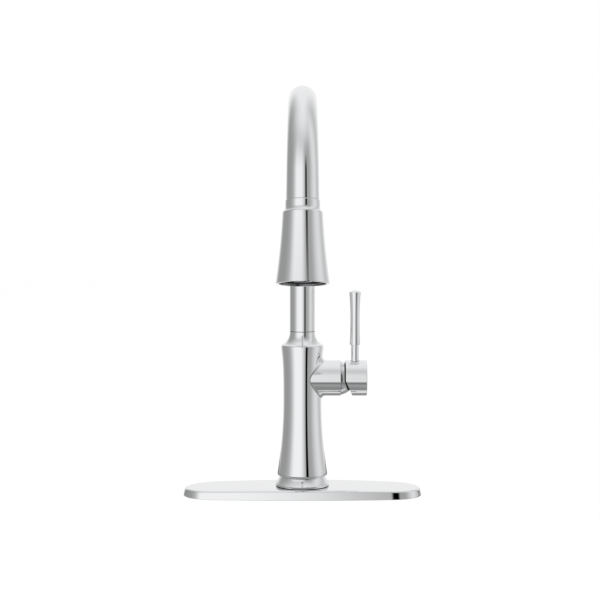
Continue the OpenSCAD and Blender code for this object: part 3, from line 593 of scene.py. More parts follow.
def shade(obj: bpy.types.Object, faces: Array) -> None:
    """Paints shade on the faces that lie in a gap, with the black gap material.

    Args:
        obj: the piece.
        faces: true for each face that takes the painted shade.
    """
    obj.data.materials.append(Finishes.shade.material())
    obj.data.polygons.foreach_set("material_index", faces.astype(np.int32))


def face_frames(obj: bpy.types.Object) -> tuple[Array, Array]:
    """Where an object's faces are and point.

    Args:
        obj: the object.

    Returns:
        The faces' middles, in millimetres, and their normals.
    """
    count = len(obj.data.polygons)
    middles, normals = np.empty(count * 3), np.empty(count * 3)
    obj.data.polygons.foreach_get("center", middles)
    obj.data.polygons.foreach_get("normal", normals)
    return middles.reshape(-1, 3) / MM, normals.reshape(-1, 3)


def piece(name: str, shell: Shell, finish: Finish, body: str, slot: str,
          *nodes: str) -> bpy.types.Object:
    """Makes a finished piece from a shell and ties it to its body and CAD nodes.

    Args:
        name: the piece's name.
        shell: its points and faces.
        finish: its finish.
        body: the body that it moves with.
        slot: a material slot's name; not used.
        nodes: the CAD nodes that it stands for.

    Returns:
        The piece.
    """
    obj = dress(mesh_object(name, *shell), finish)
    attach(obj, body)
    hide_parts(*nodes)
    LOG.info("%s: %d points on body %s", name, len(obj.data.vertices), body)
    return obj


def cut(obj: bpy.types.Object, cutter: bpy.types.Object) -> None:
    """Takes the cutter's volume out of an object and removes the cutter.

    Args:
        obj: the object.
        cutter: a closed mesh.
    """
    change = obj.modifiers.new("cut", "BOOLEAN")
    change.object, change.operation, change.solver = cutter, "DIFFERENCE", "EXACT"
    bpy.context.view_layer.update()
    ready = obj.evaluated_get(bpy.context.evaluated_depsgraph_get())
    mesh = bpy.data.meshes.new_from_object(ready)
    obj.modifiers.clear()
    obj.data = mesh
    smooth(mesh)
    bpy.data.objects.remove(cutter)


# ---------------------------------------------------------------- foot


@dataclass
class DeckPlate:
    """Long cover plate with bowed sides, round ends, a soft top edge and a top that falls to the ends."""

    length: float = 254.0
    depth: float = 68.0
    height: float = 10.4
    turn_r: float = 75.0
    lean: float = math.radians(4.8)
    turn_end: float = math.radians(16.0)
    tip_flat: float = 0.1
    edge_r: float = 3.2
    edge_inset: float = 1.2
    arch: float = 2.2
    wall: float = 1.6

    def outline(self) -> tuple[Array, Array]:
        """Points round the foot and their outward directions.

        Each quarter is three arcs that meet smoothly: the bowed side up to the lean, the turn in
        towards the end, and the round end. An arc's point is its centre plus its radius times
        (sin a, cos a). The side's radius is the one that brings the end's centre to the plate's
        long axis, a short flat away, and its tip to the plate's length. The other quarters are
        mirror images.

        Returns:
            Points and directions.
        """
        turn, s1, c1 = self.turn_r, math.sin(self.lean), math.cos(self.lean)
        s2, c2 = math.sin(self.turn_end), math.cos(self.turn_end)
        base = self.depth / 2 - turn * c1 - self.tip_flat
        side = self.length / 2 + turn * (s1 - s2) - (1 - s2) * (turn + base / c2)
        side /= s1 - (1 - s2) * (1 - c1) / c2
        side_c = np.array([0.0, self.depth / 2 - side])
        turn_c = side_c + (side - turn) * np.array([s1, c1])
        end = turn + (base - side * (1 - c1)) / c2
        end_c = turn_c + (turn - end) * np.array([s2, c2])
        points, normals = [], []
        arcs = ((side_c, side, 0.0, self.lean, 64),
                (turn_c, turn, self.lean, self.turn_end, 24),
                (end_c, end, self.turn_end, math.pi / 2, 72))
        for centre, radius, start, stop, count in arcs:
            a = np.linspace(start, stop, count + 1)[1 if points else 0:]
            normals.append(np.stack([np.sin(a), np.cos(a)], 1))
            points.append(centre + radius * normals[-1])
        p = np.vstack([*points, [[self.length / 2, 0.0]]])
        n = np.vstack([*normals, [[1.0, 0.0]]])
        p = np.vstack([p, (p * [1, -1])[-2::-1]])
        n = np.vstack([n, (n * [1, -1])[-2::-1]])
        p = np.vstack([p, (p * [-1, 1])[-2:0:-1]])
        n = np.vstack([n, (n * [-1, 1])[-2:0:-1]])
        return p, n

    def shell(self) -> Shell:
        """Rings of the outline, each drawn in by its own inset at its own height.

        They run out over the top, across to the hole and back inside. Each height is multiplied by
        1 - arch / height * (2 x / length)^2, so that the top falls to the ends.

        Returns:
            Points and faces.
        """
        p, n = self.outline()
        t = np.radians(np.linspace(0, 90, 12))
        low = self.height - self.edge_r
        z = np.concatenate([[0.0, 0.25, 1.1, low * 0.5, low - 0.2], low + self.edge_r * np.sin(t)])
        inset = np.concatenate([[0.25, 0.0, 0.1, 0.62, 1.17],
                                self.edge_inset + self.edge_r * (1 - np.cos(t))])
        rings = [np.c_[p - n * d, np.full(len(p), h)] for h, d in zip(z, inset)]
        rim = rings[-1][:, :2]
        angle = np.arctan2(rim[:, 1], rim[:, 0])
        hole = Measures.hole_r * np.stack([np.cos(angle), np.sin(angle)], 1)
        for s in [0.004, 0.02, 0.08, 0.2, 0.4, 0.6, 0.8, 0.92, 1.0]:
            flat = rim * (1 - s) + hole * s
            rings.append(np.c_[flat, np.full(len(p), self.height)])
        under = self.height - self.wall
        inner = p - n * 6.0
        inside = ((hole, under), (inner * 0.5 + hole * 0.5, under), (inner, under),
                  (p - n * 3.0, low - 0.4), (p - n * self.wall, 0.0))
        for flat, height in inside:
            rings.append(np.c_[flat, np.full(len(p), height)])
        grid = np.array(rings)
        grid[:, :, 2] *= 1 - self.arch / self.height * (grid[:, :, 0] / (self.length / 2)) ** 2
        return grid_shell(grid * MM, wrap_u=True)

    def build(self) -> None:
        """Makes the plate and dresses what is under it."""
        piece("deck_plate_shell", self.shell(), Finishes.chrome, "base", "chrome", "deck_plate")
        dress_nodes({
            Finishes.charcoal: ("under_plate",),
            Finishes.rubber: ("deck_seal", "base_seal"),
            Finishes.brass: ("mounting_shank", "hose_inlet"),
        })


@dataclass
class Column:
    """Base ring, flared body with its side arm, and the neck collar."""

    ring_foot: float = 10.9
    ring_top: float = 20.5
    ring_r: float = 28.8
    foot: float = 20.9
    top: float = 160.8
    bore: float = 17.2
    waist: float = 20.35
    fillet: float = 4.2
    sunk: float = 1.2
    shoulder_r: float = 21.8
    collar_bore: float = 12.2
    rim_r: float = 12.9
    seam: float = 175.5

    def radius(self, z: Array) -> Array:
        """Outer radius: a square law flare to the foot, a waist, and a cubic flare to the shoulder.

        Args:
            z: heights.

        Returns:
            The radius at each height.
        """
        low = self.waist + 0.00098 * np.clip(103 - z, 0, None) ** 2
        return low + 1.72e-5 * np.clip(z - 107, 0, None) ** 3

    def ring(self) -> Shell:
        """Profile: upright band, then a cove drawn as a shallow parabola up to the body's groove.

        Returns:
            Points and faces.
        """
        t = np.linspace(0, 1, 18)
        low, top = self.ring_foot, self.ring_top
        cove_r = self.ring_r - 0.35 - 4.8 * (t + 0.45 * t * (1 - t))
        cove_z = low + 2.3 + (top - low - 2.5) * t
        edge = rounded([(Measures.hole_r, low, 0), (self.ring_r - 0.05, low, 0.15),
                        (self.ring_r - 0.05, low + 2.0, 0.5), (cove_r[0], cove_z[0], 0)], 5)
        cove = np.stack([cove_r, cove_z], 1)
        close = np.array([[cove_r[-1] - 0.05, top - 0.05], [cove_r[-1] - 0.2, top],
                          [Measures.hole_r, top]])
        profile = np.vstack([edge[:-1], cove, close])
        return turned(profile, Measures.upright(), 192, closed=True)

    def body(self) -> Shell:
        """Profile: rounded foot, the flare, a rounded lip, and the bore.

        Returns:
            Points and faces.
        """
        z = np.concatenate([np.linspace(23.6, 100, 64), np.linspace(101, 157.9, 60)])
        r = self.radius(z)
        r0 = float(r[0])
        a = np.radians(np.linspace(-90, -4, 16))
        size = 2.0
        foot = np.stack([r0 - size + size * np.cos(a) - 0.1, self.foot + size + size * np.sin(a)], 1)
        rise = np.array([[r0 - 0.03, 23.0], [r0, 23.3]])
        s = np.radians(np.linspace(0, 90, 12))
        r1 = float(r[-1])
        lip_z = 158.0
        lip = np.stack([r1 - 0.75 * (1 - np.cos(s)), lip_z + (self.top - lip_z) * np.sin(s)], 1)
        profile = np.vstack([[[self.bore, self.foot]], foot, rise, np.stack([r, z], 1), lip[1:],
                             [[self.bore, self.top]]])
        return turned(profile, Measures.upright(), 224, closed=True)

    def arm(self) -> Shell:
        """Profile of the side arm, from inside the body to a recessed end, turned about the valve.

        Returns:
            Points and faces.
        """
        r, x, root, mouth, floor = Measures.arm_r, Measures.arm_x, 3.0, 16.6, 33.0
        profile = rounded([(0, root, 0), (r, root, 0), (r, x, 0.9), (mouth, x, 0.3),
                           (mouth, floor, 0), (0, floor, 0)], 7)
        return turned(profile, Measures.valve(), 224)

    def blend(self) -> Shell:
        """Fillet between the body and the arm.

        A ball of the fillet's radius rolls round the arm and touches the body. Its centre is at the
        arm's radius plus its own from the arm's axis, and at the body's radius plus its own from the
        body's. Each section is the ball's arc between the two contacts, found by turning one contact
        direction into the other, and is closed by points sunk in the metal.

        Returns:
            Points and faces.
        """
        rho, zv = self.fillet, Measures.valve_z
        a = np.linspace(0, 2 * math.pi, 224, endpoint=False)
        reach = Measures.arm_r + rho
        y, z = reach * np.sin(a), zv + reach * np.cos(a)
        x = np.sqrt((self.radius(z) + rho) ** 2 - y**2)
        ball = np.stack([x, y, z], 1)
        to_arm = np.stack([0 * a, -np.sin(a), -np.cos(a)], 1)
        to_body = np.stack([-x, -y, 0 * a], 1)
        to_body /= np.linalg.norm(to_body, axis=1, keepdims=True)
        dot = (to_arm * to_body).sum(1)
        turn = np.arccos(dot)
        way = to_body - to_arm * dot[:, None]
        way /= np.linalg.norm(way, axis=1, keepdims=True)
        rows = []
        for s in np.linspace(0, 1, 15):
            t = (turn * s)[:, None]
            rows.append(ball + rho * (to_arm * np.cos(t) + way * np.sin(t)))
        for inward in (to_body, to_arm + to_body, to_arm):
            rows.append(ball + inward * (rho + self.sunk))
        return grid_shell(np.array(rows) * MM, wrap_u=True)

    def collar_top(self) -> float:
        """Height of the collar's upper edge, just under the swivel's seam."""
        return self.seam - Measures.gap - 0.12

    def collar(self) -> Shell:
        """Cavetto: an arc that starts at the shoulder and ends upright at the spout's radius.

        Returns:
            Points and faces.
        """
        r0, r1, top = self.shoulder_r, Measures.spout_r, self.collar_top()
        z0 = self.top + Measures.gap
        run, rise = r0 - r1, top - 0.5 - z0
        turn = 2 * math.atan(run / rise)
        size = rise / math.sin(turn)
        a = np.pi + turn - np.linspace(0, 1, 30) * turn
        cove = np.stack([r1 + size + size * np.cos(a), top - 0.5 + size * np.sin(a)], 1)
        bore, rim, ledge = self.collar_bore, self.rim_r, self.seam + 0.2
        profile = np.vstack([[[bore, z0]], [[r0 - 0.5, z0 - 0.15]], [[r0 - 0.05, z0 - 0.12]], cove,
                             [[r1, top - 0.05]], [[r1 - 0.05, top]], [[rim, top]], [[rim, ledge]],
                             [[bore, ledge]]])
        return turned(profile, Measures.upright(), 192, closed=True)

    def build(self) -> None:
        """Makes the ring, the body with its arm, and the collar."""
        piece("base_ring_turned", self.ring(), Finishes.chrome, "base", "chrome", "base_ring")
        casting = joined([self.body(), self.arm(), self.blend()])
        piece("body_casting", casting, Finishes.chrome, "base", "chrome", "faucet_body")
        collar = piece("neck_collar_turned", self.collar(), Finishes.chrome, "base", "chrome",
                       "neck_collar")
        middle, normal = face_frames(collar)
        # The collar's top faces at the swivel's seam take the black gap material: painted shade in the
        # seam.
        flat = (normal[:, 2] > 0.9) | (np.hypot(middle[:, 0], middle[:, 1]) < self.rim_r + 0.1)
        shade(collar, (middle[:, 2] > self.collar_top() - 0.02) & flat)
        below = Place((0, -5.9, 0), Measures.upright().axes)
        dress_nodes({
            Finishes.acetal: ("upper_bushing", "lower_bushing", "waterway_core"),
            Braid("lower_hose_braid", below): ("lower_hose",),
        })


# ---------------------------------------------------------------- valve


@dataclass
class Handle:
    """Dome, tilting hub, stem and grip."""

    foot: float = 45.9
    end: float = 68.5
    back_drop: float = 1.5
    back_slope: float = 0.4353
    cavity_r: float = 19.1
    ball_r: float = 18.1
    ball_inner_r: float = 16.6
    ball_mouth_r: float = 11.2
    dimple_r: float = 6.3
    dimple_slope: float = 0.62
    dimple_depth: float = 2.6
    stem_r: float = 4.1
    stem_foot: float = 15.6
    stem_top: float = 161.3
    # Radius of the ring of painted shade round the stem's foot.
    stem_shade_r: float = 5.3
    grip_foot: float = 161.0
    grip_waist: float = 189.0

    def dome(self) -> Shell:
        """Ball-shaped cap: an arc about the pivot out to its opening, and back inside.

        Returns:
            Points and faces.
        """
        ball, inner, p = self.ball_r, self.ball_inner_r, Measures.pivot_x
        start = math.asin((Measures.arm_x + Measures.gap - p) / ball)
        a = np.linspace(start, math.acos(self.ball_mouth_r / ball), 40)
        out = np.stack([ball * np.cos(a), p + ball * np.sin(a)], 1)
        b = np.linspace(math.acos(self.ball_mouth_r / inner), start, 12)
        back = np.stack([inner * np.cos(b), p + inner * np.sin(b)], 1)
        return turned(np.vstack([out, back]), Measures.valve(), 192, closed=True)

    def hub(self) -> Shell:
        """Hub as rows round the valve's axis, from the middle of its end to the middle of its cavity.

        The back face is upright above the drop and leans outwards below it: its x is the foot plus
        the slope times the depth below the drop. The cavity is a ball about the pivot. Where each
        column's back face meets the ball, the radius solves
        (face - pivot)^2 + radius^2 = ball^2. The dimple lowers the top by a cone round the lever.
        Columns are close together near the top, where the dimple is.

        Returns:
            Points and faces.
        """
        r, p, zv, near = Measures.arm_r, Measures.pivot_x, Measures.valve_z, 0.46
        fine = np.concatenate([np.linspace(-math.pi, -near, 110, endpoint=False),
                               np.linspace(-near, near, 150, endpoint=False),
                               np.linspace(near, math.pi, 110, endpoint=False)])
        up, side = np.cos(fine), np.sin(fine)

        def face(rho: Array) -> Array:
            """Back face, softened where it starts to lean.

            Args:
                rho: a radius in each column.

            Returns:
                The face's x in each column.
            """
            deep = -rho * up - self.back_drop
            soft = 0.5 * (deep + np.sqrt(deep**2 + 0.16))
            return self.foot + self.back_slope * soft

        inner = np.full_like(fine, 17.5)
        for _ in range(30):
            gap = np.clip(self.cavity_r**2 - (face(inner) - p) ** 2, 0, None)
            inner = 0.5 * inner + 0.5 * np.sqrt(gap)
        rows: list[tuple[Array, Array]] = []
        end, one, edge, last = self.end, np.ones_like(fine), 0.6, 48.8
        for rho in (0.0, 6.0, 12.0, r - 1.0, r - 0.7):
            rows.append((one * rho, one * end))
        for a in np.radians(np.linspace(0, 90, 8)):
            rows.append((one * (r - edge + edge * math.sin(a)), one * (end - edge + edge * math.cos(a))))
        back = face(one * r)
        xs = np.concatenate([np.linspace(end - 0.75, 63.2, 14, endpoint=False),
                             np.linspace(63.2, last, 80, endpoint=False)])
        for x in xs:
            rows.append((one * r, np.maximum(one * x, back + 0.45 + (x - 48.0) * 0.02)))
        for s in (0.45, 0.3):
            rows.append((one * r, back + s))
        for a in np.radians(np.linspace(15, 90, 6)):
            rho = one * (r - 0.3 + 0.3 * math.cos(a))
            rows.append((rho, face(rho) + 0.3 - 0.3 * math.sin(a)))
        for s in (0.1, 0.5, 0.9):
            rho = (r - 0.3) * (1 - s) + inner * s
            rows.append((rho, face(rho)))
        reach = np.arcsin(np.clip(inner / self.cavity_r, 0, 1))
        for s in np.linspace(0, 1, 26):
            a = reach * (1 - s)
            rows.append((self.cavity_r * np.sin(a), p + self.cavity_r * np.cos(a)))
        rho = np.array([row[0] for row in rows])
        x = np.array([row[1] for row in rows])
        z, y = rho * up, rho * side
        d = np.hypot(x - Measures.lever_x, y)
        cone = r - (self.dimple_r - d) * self.dimple_slope
        cone = np.maximum(cone, r - self.dimple_depth)
        outer = (z > 10) & (d < 9) & (rho > r - 0.01)
        low = 0.5 * (z + cone - np.sqrt((z - cone) ** 2 + 0.01))
        z = np.where(outer, np.minimum(z, low), z)
        grid = np.stack([x, y, zv + z], axis=-1)
        return grid_shell(grid * MM)

    def stem(self) -> Shell:
        """Plain stem from the dimple's floor to inside the grip.

        Returns:
            Points and faces.
        """
        r, z0, z1 = self.stem_r, Measures.valve_z + self.stem_foot, self.stem_top
        profile = rounded([(0, z0, 0), (r, z0, 0), (r, z1, 0), (0, z1, 0)])
        return turned(profile, Measures.lever(), 96)

    def grip(self) -> Shell:
        """Stepped foot, a waist and a flare that are square laws of the height, and a domed cap.

        Returns:
            Points and faces.
        """
        foot, waist, low = self.grip_foot, self.grip_waist, 4.9
        z = np.concatenate([np.linspace(foot + 0.8, waist, 26), np.linspace(waist + 1.2, 216.6, 24)])
        r = low + np.where(z < waist, 0.7, 1.35) * ((z - waist) / 28) ** 2
        side = np.stack([r, z], 1)
        t = np.linspace(0.0, 1, 16)
        cap = np.stack([5.75 * (1 - t), 217.35 + 2.05 * (1 - (1 - t) ** 1.7)], 1)
        a = np.radians(np.linspace(0, 80, 7))
        edge = np.stack([5.72 + 0.5 * np.cos(a), 216.8 + 0.5 * np.sin(a)], 1)
        step = rounded([(0, foot, 0), (5.58, foot, 0.35), (5.56, foot + 0.9, 0)], 5)
        profile = np.vstack([step[:-1], side[1:], edge, cap[1:]])
        return turned(profile, Measures.lever(), 96)

    def build(self) -> None:
        """Makes the dome, hub and lever, and dresses the valve inside."""
        piece("dome_cap_turned", self.dome(), Finishes.chrome, "base", "chrome", "dome_cap")
        hub = piece("hub_cup", self.hub(), Finishes.chrome, "handle", "chrome", "handle_hub")
        middle, normal = face_frames(hub)
        middle -= (0, 0, Measures.valve_z)
        off = np.hypot(middle[:, 1], middle[:, 2])
        # The hub's cavity and a thin ring round the stem's foot take the black gap material: painted
        # shade behind the hub and round the stem.
        recess = (normal[:, 0] < -0.6) & (off < Measures.arm_r - 0.3)
        round_stem = np.hypot(middle[:, 0] - Measures.lever_x, middle[:, 1]) < self.stem_shade_r
        shade(hub, recess | (round_stem & (middle[:, 2] > 10)))
        piece("lever_rod", self.stem(), Finishes.chrome, "handle", "chrome", "lever_stem")
        piece("lever_handgrip", self.grip(), Finishes.chrome, "handle", "chrome", "lever_grip")
        dress_nodes({
            Finishes.steel: ("valve_spindle", "hub_screw", "tilt_pin"),
            Finishes.brass: ("bonnet_nut",),
            Finishes.grey: ("cartridge_housing",),
            Finishes.ceramic: ("fixed_disc", "moving_disc"),
            Finishes.acetal: ("disc_guide", "stem_carrier"),
            Finishes.rubber: ("cartridge_seals",),
        })


# ---------------------------------------------------------------- spout


@dataclass
class Spout:
    """Gooseneck tube with its dock."""

    sides: int = 144
    foot: float = 175.75
    bore: float = 12.2
    dock_bore: float = 14.3
    dock_depth: float = 20.0
    taper_from: float = 90.0

    def rings(self, stations: Array) -> Array:
        """Rings square to the route.

        A station is (angle round the bend, length past it, radius). With out = bend radius + radius
        cos t, the point is (radius sin t, -bend radius + out cos angle - past sin angle, bend height
        + out sin angle + past cos angle).

        Args:
            stations: the stations in order.

        Returns:
            Stations by columns by 3 points.
        """
        t = np.linspace(0, 2 * math.pi, self.sides, endpoint=False)
        a = np.radians(stations[:, 0])[:, None]
        past, r = stations[:, 1][:, None], stations[:, 2][:, None]
        out = Measures.bend_r + r * np.cos(t)
        x = r * np.sin(t) + 0 * a
        y = -Measures.bend_r + out * np.cos(a) - past * np.sin(a)
        z = Measures.bend_z + out * np.sin(a) + past * np.cos(a)
        return np.stack([x, y, z], axis=-1)

    def tube(self) -> Shell:
        """Outside from the swivel's seam to the dock, then inside all the way back.

        Returns:
            Points and faces.
        """
        m = Measures
        arc = m.bend_r * math.radians(m.bend_angle - self.taper_from)
        grow = (m.spout_end_r - m.spout_r) / (arc + m.spout_end)
        foot, tip = self.foot - m.bend_z, m.spout_end - 0.2
        e = np.radians(np.linspace(0, 90, 6))
        a1 = np.linspace(0, self.taper_from, 60)
        a2 = np.linspace(self.taper_from, m.bend_angle, 64)[1:]
        far = arc * (a2 - self.taper_from) / (m.bend_angle - self.taper_from)
        straight = np.linspace(foot + 0.5, 0, 12)[:-1]
        last = np.linspace(0, tip - 0.6, 8)[1:]
        r_tip, far_end, dock = m.spout_end_r, m.bend_angle, m.spout_end - self.dock_depth
        parts = [
            np.stack([0 * e, foot + 0.1 - 0.1 * np.cos(e), m.spout_r - 0.1 + 0.1 * np.sin(e)], 1),
            np.stack([0 * straight, straight, 0 * straight + m.spout_r], 1),
            np.stack([a1, 0 * a1, 0 * a1 + m.spout_r], 1),
            np.stack([a2, 0 * a2, m.spout_r + grow * far], 1),
            np.stack([0 * last + far_end, last, m.spout_r + grow * (arc + last)], 1),
            np.stack([0 * e + far_end, tip - 0.3 + 0.3 * np.sin(e), r_tip - 0.3 + 0.3 * np.cos(e)], 1),
            np.array([[far_end, tip, self.dock_bore], [far_end, dock, self.dock_bore],
                      [far_end, dock, self.bore]]),
            np.stack([np.linspace(far_end, 0, 40), np.zeros(40), np.full(40, self.bore)], 1),
            np.array([[0, foot, self.bore]]),
        ]
        return grid_shell(self.rings(np.vstack(parts)) * MM, wrap_u=True)

    def build(self) -> None:
        """Makes the tube and dresses the swivel and the dock."""
        tube = piece("spout_gooseneck", self.tube(), Finishes.chrome, "spout", "chrome", "spout_tube")
        middle, normal = face_frames(tube)
        wand = Measures.wand()
        # The tube's foot at the swivel's seam and its end face at the dock take the black gap material:
        # painted shade in both seams.
        foot = (middle[:, 2] < self.foot + 0.01) & (normal[:, 2] < -0.9)
        dock = (np.abs(wand.local(middle)[:, 2]) < 0.3) & (wand.along(normal) < -0.9)
        shade(tube, foot | dock)
        dress_nodes({
            Finishes.brass: ("spout_sleeve",),
            Finishes.steel: ("retaining_clip", "dock_magnet"),
            Finishes.charcoal: ("dock_insert",),
            Braid("hose_braid", Measures.upright()): ("spray_hose",),
        })


# ---------------------------------------------------------------- spray head


@dataclass
class SprayHead:
    """Flared spray head that docks in the spout."""

    length: float = 78.0
    rim_r: float = 25.25
    mouth_r: float = 22.1
    mouth_depth: float = 9.0
    bore: float = 12.6
    neck_r: float = 16.28
    shoulder_t: float = 12.0
    shoulder_r: float = 18.9
    rocker_width: float = 11.0
    rocker_rise: float = 19.0
    rocker_t: float = 34.0
    hose_r: float = 6.0

    def flare(self, t: Array) -> Array:
        """Radius of the cone, a square law from the shoulder.

        Args:
            t: distances below the seam.

        Returns:
            The radius at each.
        """
        s = t - self.shoulder_t
        return self.shoulder_r + 0.048 * s + 0.00073 * s**2

    def shell(self) -> Shell:
        """Neck, cavetto, rounded shoulder and flare, then the rim and the recess inside it.

        Returns:
            Points and faces.
        """
        r, top, end = self.neck_r, -0.2, self.length
        neck = rounded([(self.bore, top, 0), (r, top, 0.9), (r + 0.02, 3.0, 0), (r + 0.04, 6.0, 0)], 8)
        s = np.linspace(0, 1, 16)[1:]
        hollow = (1 - np.sqrt(1 - 0.93 * s**2)) / (1 - math.sqrt(0.07))
        cove = np.stack([r + 0.04 + 2.2 * hollow, 6 + 4.9 * s], 1)
        turn = np.sin(np.radians(np.linspace(20, 90, 7)))
        cap = np.stack([self.shoulder_r - 0.38 + 0.38 * turn, 11.0 + 1.3 * np.linspace(0, 1, 7)], 1)
        t = np.linspace(13.0, end - 1.3, 60)
        cone = np.stack([self.flare(t), t], 1)
        rim = rounded([(float(cone[-1, 0]), float(t[-1]), 0), (self.rim_r, end, 0.55),
                       (self.mouth_r, end, 0.35), (self.mouth_r, end - self.mouth_depth, 0),
                       (self.bore, end - self.mouth_depth, 0)], 7)
        profile = np.vstack([neck, cove, cap, cone, rim[1:]])
        profile[:, 1] *= -1
        return turned(profile, Measures.wand(), 224, closed=True)

    def window(self) -> Shell:
        """Cutter for the rocker's opening: a prism on two half circles joined by straight sides.

        Returns:
            Points and faces.
        """
        r = self.rocker_width / 2 + 0.3
        half = (self.rocker_rise - self.rocker_width) / 2 + 0.5
        a = np.linspace(0, 2 * math.pi, 96, endpoint=False)
        x, t = r * np.cos(a), r * np.sin(a) + half * np.sign(np.sin(a + 1e-9))
        near, far = 12.7, 32.0
        sections = ((0, near), (0.5, near), (1, near), (1, far), (0.5, far), (0, far))
        rows = [np.stack([s * x, 0 * x + y, s * t - self.rocker_t], 1) for s, y in sections]
        return grid_shell(Measures.wand().out(np.array(rows)))

    def hose(self) -> Shell:
        """The hose's straight end in the dock.

        Returns:
            Points and faces.
        """
        heights = (26.5, 26.5, 25.0, 20.0, 16.5, 14.1, 14.1)
        profile = np.array([(self.hose_r * (0 < i < 6), z) for i, z in enumerate(heights)])
        return turned(profile, Measures.wand(), 64)

    def build(self) -> None:
        """Makes the shell with its opening and the hose's end, and dresses the parts in the head."""
        shell = piece("spray_shell", self.shell(), Finishes.chrome, "wand", "chrome", "head_shell")
        cut(shell, mesh_object("rocker_window", *self.window()))
        middle, normal = face_frames(shell)
        wand = Measures.wand()
        # The shell's top face at the dock's seam takes the black gap material: painted shade in the seam.
        shade(shell, (wand.local(middle)[:, 2] > -0.3) & (wand.along(normal) > 0.9))
        hose = dress(mesh_object("pulled_hose", *self.hose()), Braid("pulled_hose_braid", wand))
        ends = wand.out(np.array([[0, 0, 25.0], [0, 0, 16.5]]))
        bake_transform(hose)
        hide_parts("hose_tail")
        dress_nodes({
            Finishes.charcoal: ("dock_plug", "face_ring", "check_valve"),
            Finishes.steel: ("keeper_ring", "aerator_screen", "rocker_pin", "hose_ferrule"),
            Finishes.acetal: ("head_core",),
            Finishes.rubber: ("spray_face", "face_seal"),
            Finishes.grey: ("aerator_housing", "mode_rocker", "diverter_spool"),
            Finishes.brass: ("swivel_stem",),
        })


# ---------------------------------------------------------------- studio


@dataclass(frozen=True)
class Card:
    """One soft-edged card round the faucet, in degrees: 0 is the front and 90 the right.

    Args:
        middle: direction of its middle.
        half: half its width, 180 for a card all the way round.
        edge: width of its soft sides.
        low: height above the horizon where it starts.
        high: height where it ends.
        fade: depth of its soft top and bottom.
        level: brightness.
    """

    middle: float
    half: float
    edge: float
    low: float
    high: float
    fade: float
    level: float


